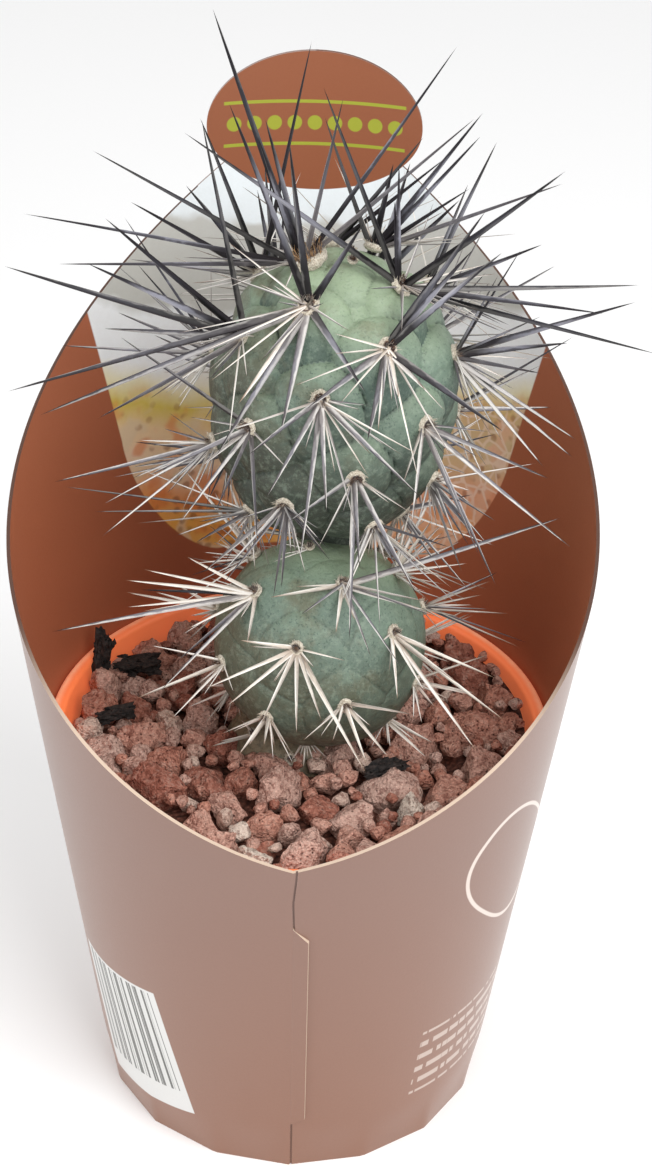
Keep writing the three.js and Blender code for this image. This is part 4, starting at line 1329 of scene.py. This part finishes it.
def stem_finish(settings, name, corky, low_shade, foot_shade):
    """Waxy skin: paler crown, teal at the foot of each tubercle that is partly painted shade, painted light
    under each crease, painted shade in the creases and low down, olive weathering and fine specks.
    """
    finish = Finish(name, roughness=0.5, coat=0.04, Subsurface_Weight=0.05,
                    Subsurface_Scale=0.002, Subsurface_Radius=(0.4, 0.8, 0.4))
    place = finish.place()
    crown = finish.attribute("crown")
    below = finish.attribute("below")
    x = finish.split(place)[0]
    cloud = finish.noise(place, 6, detail=4, rough=0.6)
    foot = below.above(0.28, 0.2) * crown.below(0.9, 0.08) * foot_shade
    patch = finish.noise(place, 8, detail=5, rough=0.65)
    weathered = (patch - x * 0.008 - crown * 0.16).above(0.43, 0.1)
    # Painted shade, with the skin's darker tone, low on a segment and towards its left
    low = (crown + x * 0.004 + (cloud - 0.5) * 0.3).below(0.5, 0.3)
    specks = finish.noise(place, 0.4, detail=2, rough=0.6).above(0.61, 0.06)
    spread = finish.noise(place, 3.2, detail=2).above(0.45, 0.15)
    fresh = crown.above(0.84, 0.1)
    wrinkle = abs(finish.noise(place, 13, detail=1) - 0.47).below(0.008, 0.01) * fresh
    bloom = finish.noise(place, 1.2, detail=5, rough=0.75).above(0.56, 0.1)
    # A bright shoulder under each crease, painted light where the tubercle's top faces up, comes before the
    # teal towards the tubercle's foot, partly the skin's own colour and partly painted shade where it faces
    # down
    skin = finish.laid(
        settings.skin,
        (crown.above(0.84, 0.14), settings.crown),
        (below.below(-0.2, 0.2) * foot_shade * 0.35, settings.crown),
        (foot * (0.62 + 0.35 * cloud), settings.shade),
        (weathered * 0.6, settings.olive),
        (low * low_shade, settings.under),
        (specks * (0.12 + 0.42 * spread) * (1 - fresh * 0.65), settings.speck),
        (wrinkle * 0.3, (96, 116, 90)),
        (bloom * 0.25, (158, 174, 154)),
        # Painted shade along the crease where two tubercles meet
        (finish.attribute("line") * (0.2 + 0.55 * foot_shade), (40, 54, 44)),
        (corky, finish.mix(bloom, settings.cork, linear(84, 72, 54))))
    finish.set("Base Color", skin)
    finish.set("Roughness", 0.42 + 0.25 * cloud)
    fine = finish.noise(place, 0.45, detail=4, rough=0.65)
    finish.bump(fine + cloud * 0.6 - specks * 0.3 - wrinkle * 0.5, 0.14, 0.8)
    return finish


def neck_body():
    """Short waisted neck that carries the upper segment."""
    height = NECK.high - NECK.low
    outline = [(0, NECK.low)]
    for step in range(13):
        t = step / 12
        waist = 1 - 0.14 * math.sin(math.pi * t)
        outline.append(((NECK.foot + (NECK.top - NECK.foot) * t) * waist, NECK.low + height * t))
    outline.append((0, NECK.high))
    neck = turned(outline, 48, "neck")
    write_points(neck, read_points(neck) + (NECK.x, NECK.y, 0))
    for name in ("line", "below", "crown"):
        write_values(neck, name, np.zeros(len(neck.data.vertices)))
    return neck


class CACTUS_OT_stems(bpy.types.Operator):
    """Swell the three stem segments into tubercles and paint their skin"""
    bl_idname = "cactus.stems"
    bl_label = "Stem segments"

    def execute(self, context):
        settings = context.scene.cactus_stem
        for segment in SEGMENTS:
            body = stem_body(segment, settings.crease)
            if segment is UPPER:
                body = joined("upper_stem", [body, neck_body()])
            smooth(body, 80)
            finished(body, segment.slot, segment.node, stem_finish(settings, *segment.skin))
        return {"FINISHED"}


# Areoles

class AreoleSettings(bpy.types.PropertyGroup):
    wool: colour("Wool", "Felt of the areoles", 232, 224, 206)
    brown: colour("Glochids", "Short bristles in the middle", 58, 32, 22)
    golden: colour("Golden glochids", "Paler bristles of the crown's largest areole", 206, 158, 98)
    hairs: count("Hairs", "Wool hairs on each areole", 60, 0, 120)
    bristles: count("Bristles", "Brown bristles on each areole", 44, 0, 80)


# The crown's largest areole, whose felt and spine roots spread wider than the others'
GREAT_AREOLE = 3
AREOLE_GROWTH = {2: 1.5, GREAT_AREOLE: 2.15, 4: 1.15, 6: 1.15}
GREAT_AREOLE_SHIFT = (1.5, -0.4, 0.1)
GOLDEN_BRISTLES = 170


def cushion_size(segment, spot):
    """Radius of an areole's felt: large where the crown's long spines stand, tiny at the tip."""
    grown = min(1, 0.4 + 0.14 * spot.young)
    growth = AREOLE_GROWTH.get(spot.k, 1) if segment is UPPER else 1
    return segment.cushion * grown * growth


def felt_template():
    """A felted ring with a sunk middle: a ball pressed flat and dimpled."""
    bpy.ops.mesh.primitive_uv_sphere_add(segments=24, ring_count=14, radius=1)
    points, faces = template()
    r = np.hypot(points[:, 0], points[:, 1])
    points[:, 2] *= 0.5
    points[:, 2] -= np.where(points[:, 2] > 0, 0.4 * np.exp(-(r / 0.55) ** 4), 0)
    return points, faces, r


def hair(root, aim, length, width, random):
    """Three-sided hair with a slight curl: two rings and a tip."""
    aside = aim.orthogonal().normalized()
    other = aim.cross(aside)
    curl = aside * between(random, -0.3, 0.3) + other * between(random, -0.3, 0.3)
    points = []
    for share, taper in ((0, 1), (0.5, 0.8)):
        middle = root + aim * length * share + curl * length * share ** 2
        for side in range(3):
            turn = math.tau * side / 3
            points.append(middle + (aside * math.cos(turn) + other * math.sin(turn)) * width / 2 * taper)
    points.append(root + aim * length + curl * length)
    return points


HAIR_FACES = [(0, 1, 4, 3), (1, 2, 5, 4), (2, 0, 3, 5), (3, 4, 6), (4, 5, 6), (5, 3, 6), (2, 1, 0)]


def wool_finish(settings):
    """Felt whose middle turns brown, or golden where the core attribute is high."""
    wool = Finish("areole_wool", roughness=0.95, Sheen_Weight=0.3, Sheen_Roughness=0.5)
    place = wool.place()
    fluff = wool.noise(place, 0.3, detail=4, rough=0.7)
    core = wool.attribute("core")
    felt = wool.mix(fluff.above(0.45, 0.2), linear(150, 128, 104), settings.wool)
    brown = wool.mix(wool.noise(place, 0.6).above(0.4, 0.2), linear(132, 90, 54), settings.brown)
    brown = wool.mix(core.above(1.5, 0.2), brown, settings.golden)
    wool.set("Base Color", wool.mix(core.above(0.42, 0.2), felt, brown))
    wool.bump(fluff, 0.3)
    return wool


def tuft_hair(spot, size, bristle, great, random):
    """Points of one wool hair or bristle of an areole, and the tone of its core."""
    turn = between(random, 0, math.tau)
    spread = 0.95 if not bristle else 0.8 if great else 0.45
    out = spread * between(random, 0.5, 1) * size
    if bristle and not great and math.sin(turn) < -0.2:
        turn = -turn
    aside = spot.side * math.cos(turn) + spot.up * math.sin(turn)
    root = spot.centre + aside * out + spot.out * size * 0.2
    lean = between(random, 0.1, 0.5) if bristle else between(random, 0.4, 1.3)
    aim = (spot.out + aside * lean).normalized()
    length = between(random, 0.7, 1.5) * (1.2 if bristle else 0.7) * size / 1.9
    points = hair(root, aim, length, 0.13 if bristle else 0.1, random)
    tone = 0 if not bristle else between(random, 0.8, 2.6) if great else between(random, 0.3, 1)
    return np.array(points), np.full(len(points), tone)


class CACTUS_OT_areoles(bpy.types.Operator):
    """Felt every areole with wool and set its tuft of brown bristles"""
    bl_idname = "cactus.areoles"
    bl_label = "Areoles"

    def execute(self, context):
        settings = context.scene.cactus_areole
        wool = wool_finish(settings)
        for segment in SEGMENTS:
            random = seeded_random(segment.seed + AREOLE_DRAWS)
            points, faces, r = felt_template()
            core = np.exp(-(r / 0.7) ** 4) * (points[:, 2] > -0.3) * (1 if segment is UPPER else 0.55)
            pads, hairs = [], []
            for spot in areoles_of(segment):
                size = cushion_size(segment, spot)
                great = segment is UPPER and spot.k == GREAT_AREOLE
                if great:
                    spot = changed(spot, centre=spot.centre + Vector(GREAT_AREOLE_SHIFT))
                wobble = np.array([between(random, 0.92, 1.08) for _ in range(len(points))])
                local = points * (size * 0.86, size, size) * wobble[:, None]
                pads.append(local @ np.array([spot.side, spot.up, spot.out]) + np.array(spot.centre))
                for index in range(settings.hairs + (GOLDEN_BRISTLES if great else settings.bristles)):
                    hairs.append(tuft_hair(spot, size, index >= settings.hairs, great, random))
            clouds, tones = zip(*hairs)
            pad = smooth(copies(segment.name + "_felt", faces, pads, {"core": [core] * len(pads)}), 80)
            tuft = copies(segment.name + "_tufts", HAIR_FACES, clouds, {"core": tones})
            finished(joined(segment.name + "_areoles", [pad, tuft]), segment.slot, segment.node, wool)
        return {"FINISHED"}


# Spines

class SpineSettings(bpy.types.PropertyGroup):
    sides: count("Sides", "Faces round a spine", 6, 3, 12)
    extra: count("Fine spines", "Fine spines added low on each areole", 5, 0, 12)


# Dark spines of old areoles at the segment's sides: (bearing, lift, length)
DARK_SPINES = {12: ((90, 67, 15), (96, 62, 20), (84, 30, 15)), 32: ((-92, 6, 30), (-88, 0, 25))}
CROWN_THICKENING = 1.12
TUFT_PLACE = (1.2, -8.8, 73.2)
NEEDLE_RINGS = (0.0, 0.06, 0.2, 0.4, 0.6, 0.78, 0.92)


def needle_faces(sides):
    """A needle's skin: rings from the root up, closed by a tip and a base."""
    faces = []
    for ring in range(len(NEEDLE_RINGS) - 1):
        for side in range(sides):
            following = (side + 1) % sides
            a, b = ring * sides + side, ring * sides + following
            faces.append((a, b, b + sides, a + sides))
    last = (len(NEEDLE_RINGS) - 1) * sides
    tip = last + sides
    faces += [(last + side, last + (side + 1) % sides, tip) for side in range(sides)]
    faces.append(tuple(reversed(range(sides))))
    return faces


def needle_points(spine, sides, random):
    """Points of one slightly bowed, flattened needle, and how far along and round each one is."""
    aim = spine.aim
    aside = aim.cross(spine.out)
    aside = aside.normalized() if aside.length > 0.05 else aim.orthogonal().normalized()
    flat = aside.cross(aim).normalized()
    bow = (aside * between(random, -1, 1) + flat * between(random, -0.7, 0.7)) * spine.length * 0.02
    whole_length = spine.length + SPINE_SINK
    thick = spine.width == CROWN_WIDTH
    width = spine.width * (CROWN_THICKENING if thick else 1)
    root = spine.root
    if spine.k == GREAT_AREOLE and thick:
        root = root + aside_of(aim, spine.out) * ROOT_SPREAD * 0.8
    points, along, edge = [], [], []
    # Which flank takes the painted highlight; the other takes the painted shade
    flank = 1 if between(random, -1, 1) > 0 else -1
    for share in NEEDLE_RINGS:
        taper = (1 - share) ** 0.62 * (1.12 if share < 0.05 else 1)
        middle = root + aim * (share * whole_length - SPINE_SINK) + bow * share ** 2
        for side in range(sides):
            turn = math.tau * (side + 0.5) / sides
            reach = aside * math.cos(turn) + flat * math.sin(turn) * SPINE_FLATNESS
            points.append(middle + reach * width / 2 * taper)
            along.append(share)
            edge.append(flank * math.cos(turn))
    points.append(root + aim * spine.length + bow)
    return np.array(points), np.array(along + [1.0]), np.array(edge + [0.0])


# Range of the shade for the spines of these kinds
KIND_SHADES = {
    "dark": (0.0, 0.16), "slate": (0.16, 0.28), "ash": (0.5, 0.64),
    "pale": (0.66, 0.92), "mixed": (0.2, 0.95),
}


def shade_of(segment, spine, random):
    """0 for a black spine of the crown, 0.5 for a grey one and 1 for an ivory one."""
    lift = spine.aim.z
    if spine.kind in KIND_SHADES:
        return between(random, *KIND_SHADES[spine.kind])
    if segment is UPPER:
        if spine.kind == "radial":
            return between(random, 0.55, 0.85)
        dark = np.clip((lift + 0.45) / 0.95, 0, 1) * (1.15 - 0.8 * spine.age)
        return float(np.clip(0.62 - 0.62 * dark + between(random, -0.08, 0.08), 0, 1))
    if spine.length > 24:
        return between(random, 0.38, 0.5)
    return between(random, 0.82, 1.0)


def spine_finish():
    """Horny spines: black, grey or ivory, each with its own run of tones from root to tip, and a painted
    highlight and shade down their flanks.
    """
    finish = Finish("spines", roughness=0.5, Specular_IOR_Level=0.2)
    along = finish.attribute("along")
    shade = finish.attribute("shade")
    edge = finish.attribute("edge")
    jet = finish.ramp(
        along, (0.0, 10, 6, 6), (0.35, 8, 7, 10), (0.58, 48, 47, 54), (0.8, 26, 25, 29), (1.0, 12, 10, 12))
    silver = finish.ramp(
        along, (0.0, 12, 8, 8), (0.24, 16, 14, 18), (0.42, 128, 128, 138), (0.6, 134, 134, 144),
        (0.76, 40, 38, 43), (1.0, 14, 12, 14))
    grey = finish.ramp(
        along, (0.0, 196, 180, 160), (0.1, 142, 136, 134), (0.5, 126, 124, 130), (0.8, 92, 87, 90),
        (0.97, 34, 25, 24))
    ivory = finish.ramp(
        along, (0.0, 160, 136, 116), (0.2, 208, 196, 182), (0.65, 230, 223, 212), (0.97, 140, 112, 90))
    # Painted highlight in a pale streak down one flank and painted shade in a dark one down the other,
    # broken by the spine's own streaks
    streak = finish.noise(finish.place(), 2.2, detail=3)
    light = (edge * 0.5 + streak).above(0.72, 0.16) * (0.05 + 0.9 * shade)
    dark = (streak - edge * 0.5).above(0.72, 0.16) * (0.85 - 0.5 * shade)
    finish.set("Base Color", finish.laid(
        jet,
        (finish.attribute("silver").above(0.5, 0.2), silver),
        (shade.above(0.25, 0.22), grey),
        (shade.above(0.75, 0.16), ivory),
        (light, (242, 238, 232)),
        (dark, (36, 32, 36))))
    finish.set("Roughness", 0.4 + 0.25 * streak)
    finish.bump(streak, 0.05, 0.5)
    return finish


def fine_spines(segment, extra, random):
    """Short fine spines that fan downwards from the lower edge of each areole."""
    spines = []
    for spot in areoles_of(segment):
        if spot.age < BARE_TOP or segment is BASAL:
            continue
        for _ in range(extra):
            aim = fan_aim(spot, between(random, 80, 280), between(random, 40, 78))
            length = between(random, 4, 12 if segment is UPPER else 8)
            spines.append(spine_of(spot, aim, length, 0.46, "radial"))
        for bearing, lift, length in DARK_SPINES.get(spot.k, ()) if segment is UPPER else ():
            spines.append(spine_of(spot, leader_aim(bearing, lift), length, 1, "dark", spot.centre))
    return spines


def bushy_spines(segment, random):
    """Pale thin spines that spread from the crown, and mixed ones where two segments meet."""
    other = [obstacle(LOWER if segment is UPPER else UPPER)]
    spines = []
    for spot in areoles_of(segment):
        crown = segment is UPPER and BARE_TOP < spot.age < 0.5
        waist = spot.age > 0.7 if segment is UPPER else spot.age < 0.42
        for _ in range(6 if crown or waist else 0):
            if crown:
                kind, width, length = "pale", 0.5, between(random, 10, 24)
                aim = fan_aim(spot, between(random, 60, 300), between(random, 55, 82))
            else:
                kind, width, length = "mixed", 0.66, between(random, 9, 20)
                aim = leader_aim(bearing_of(spot.out) + between(random, -65, 65), between(random, -28, 22))
            spine = spine_of(spot, aim, length, width, kind, spot.centre + spot.out * 0.2)
            if is_clear(spine, None, other, RIM_TOP + CLEAR_OF_STONES):
                spines.append(spine)
    return spines


def dry_tuft(random):
    """Short dead spines that fan down in front, where the lower segment meets the stones."""
    spot = SimpleNamespace(centre=Vector(TUFT_PLACE), age=1, out=Vector((0, 0, 1)), k=0)
    spines = []
    for index in range(9):
        aim = leader_aim(-50 + 100 * index / 8 + between(random, -6, 6), between(random, -50, -12))
        spines.append(spine_of(spot, aim, between(random, 3.5, 5.5), 0.5, "radial", spot.centre))
    return spines


class CACTUS_OT_spines(bpy.types.Operator):
    """Grow the spines of every areole, from black at the crown to ivory low down"""
    bl_idname = "cactus.spines"
    bl_label = "Spines"

    def execute(self, context):
        settings = context.scene.cactus_spine
        finish = spine_finish()
        grown = all_spines()
        for segment in SEGMENTS:
            random = seeded_random(segment.seed + SPINE_DRAWS)
            spines = grown[segment.name] + fine_spines(segment, settings.extra, random)
            spines += dry_tuft(random) if segment is BASAL else bushy_spines(segment, random)
            rows = []
            for spine in spines:
                points, along, edge = needle_points(spine, settings.sides, random)
                shade = np.full(len(points), shade_of(segment, spine, random))
                rows.append((points, along, edge, shade, np.full(len(points), random())))
            clouds, *values = zip(*rows)
            values = dict(zip(("along", "edge", "shade", "silver"), values))
            piece = copies(segment.name + "_spines", needle_faces(settings.sides), clouds, values)
            finished(smooth(piece, 50), segment.slot, segment.node, finish)
        return {"FINISHED"}


# Stage

class StageSettings(bpy.types.PropertyGroup):
    key: amount("Key light", "Power of the large soft light, in watts", 3.2, 0, 100)
    fill: amount("Fill light", "Power of the light from the left, in watts", 0.8, 0, 100)
    sky: amount("Surroundings", "Strength of the pale surroundings", 0.8, 0, 5)
    focal: amount("Focal length", "Of the camera, in millimetres", FOCAL_LENGTH, 10, 300, unit="CAMERA")


def add_light(name, place, target, power, size):
    light = bpy.data.lights.new(name, "AREA")
    light.energy = power
    light.size = size
    thing = linked(name, light)
    thing.location = Vector(place) * MM
    thing.rotation_euler = (Vector(target) - Vector(place)).to_track_quat("-Z", "Y").to_euler()


class CACTUS_OT_stage(bpy.types.Operator):
    """Set the pale floor, the soft lights and the camera"""
    bl_idname = "cactus.stage"
    bl_label = "Stage"

    def execute(self, context):
        settings = context.scene.cactus_stage
        scene = context.scene
        bpy.ops.mesh.primitive_plane_add(size=40)
        floor = added("floor")
        finish = Finish("pale_floor", roughness=0.9)
        finish.set("Base Color", (0.96, 0.96, 0.96))
        floor.data.materials.append(finish.material)
        world = bpy.data.worlds.new("surroundings")
        world.use_nodes = True
        background = world.node_tree.nodes["Background"]
        background.inputs["Color"].default_value = (1, 1, 1, 1)
        background.inputs["Strength"].default_value = settings.sky
        scene.world = world
        scene.view_settings.view_transform = "Standard"
        add_light("key", (260, -330, 520), (0, 0, 90), settings.key, 0.45)
        add_light("fill", (-420, -200, 260), (0, 0, 90), settings.fill, 0.4)
        # Camera at the photograph's angle, with its slight roll
        camera = bpy.data.cameras.new("camera")
        camera.lens = settings.focal
        camera.sensor_width = SENSOR
        camera.clip_start = 0.01
        tilt = Matrix.Rotation(math.radians(90 - CAMERA_ELEVATION), 4, "X")
        roll = Matrix.Rotation(math.radians(CAMERA_ROLL), 4, "Z")
        back = Matrix.Translation((0, 0, CAMERA_DISTANCE * MM))
        shot = linked("camera", camera)
        shot.matrix_world = Matrix.Translation(Vector(CAMERA_TARGET) * MM) @ tilt @ roll @ back
        scene.camera = shot
        return {"FINISHED"}


class CACTUS_PT_panel(bpy.types.Panel):
    """The cactus's pieces, in the order in which they are made"""
    bl_label = "Potted cactus"
    bl_space_type = "VIEW_3D"
    bl_region_type = "UI"
    bl_category = "Cactus"

    def draw(self, context):
        for group, operator in STEPS_IN_ORDER:
            box = self.layout.box()
            box.operator(operator.bl_idname)
            if group:
                settings = getattr(context.scene, group)
                for name in settings.__annotations__:
                    box.prop(settings, name)


GROUPS = {
    "cactus_sleeve": SleeveSettings,
    "cactus_pot": PotSettings,
    "cactus_gravel": GravelSettings,
    "cactus_stem": StemSettings,
    "cactus_areole": AreoleSettings,
    "cactus_spine": SpineSettings,
    "cactus_stage": StageSettings,
}
STEPS_IN_ORDER = (
    ("cactus_stage", CACTUS_OT_stage),
    ("cactus_sleeve", CACTUS_OT_sleeve),
    ("cactus_pot", CACTUS_OT_pot),
    ("cactus_gravel", CACTUS_OT_gravel),
    (None, CACTUS_OT_bark),
    ("cactus_stem", CACTUS_OT_stems),
    ("cactus_areole", CACTUS_OT_areoles),
    ("cactus_spine", CACTUS_OT_spines),
)


def register():
    for name, group in GROUPS.items():
        bpy.utils.register_class(group)
        setattr(bpy.types.Scene, name, bpy.props.PointerProperty(type=group))
    for _, operator in STEPS_IN_ORDER:
        bpy.utils.register_class(operator)
    bpy.utils.register_class(CACTUS_PT_panel)


def unregister():
    bpy.utils.unregister_class(CACTUS_PT_panel)
    for _, operator in reversed(STEPS_IN_ORDER):
        bpy.utils.unregister_class(operator)
    for name, group in GROUPS.items():
        delattr(bpy.types.Scene, name)
        bpy.utils.unregister_class(group)


def main():
    register()
    for _, operator in STEPS_IN_ORDER:
        area, name = operator.bl_idname.split(".")
        getattr(getattr(bpy.ops, area), name)()


if __name__ == "__main__":
    main()
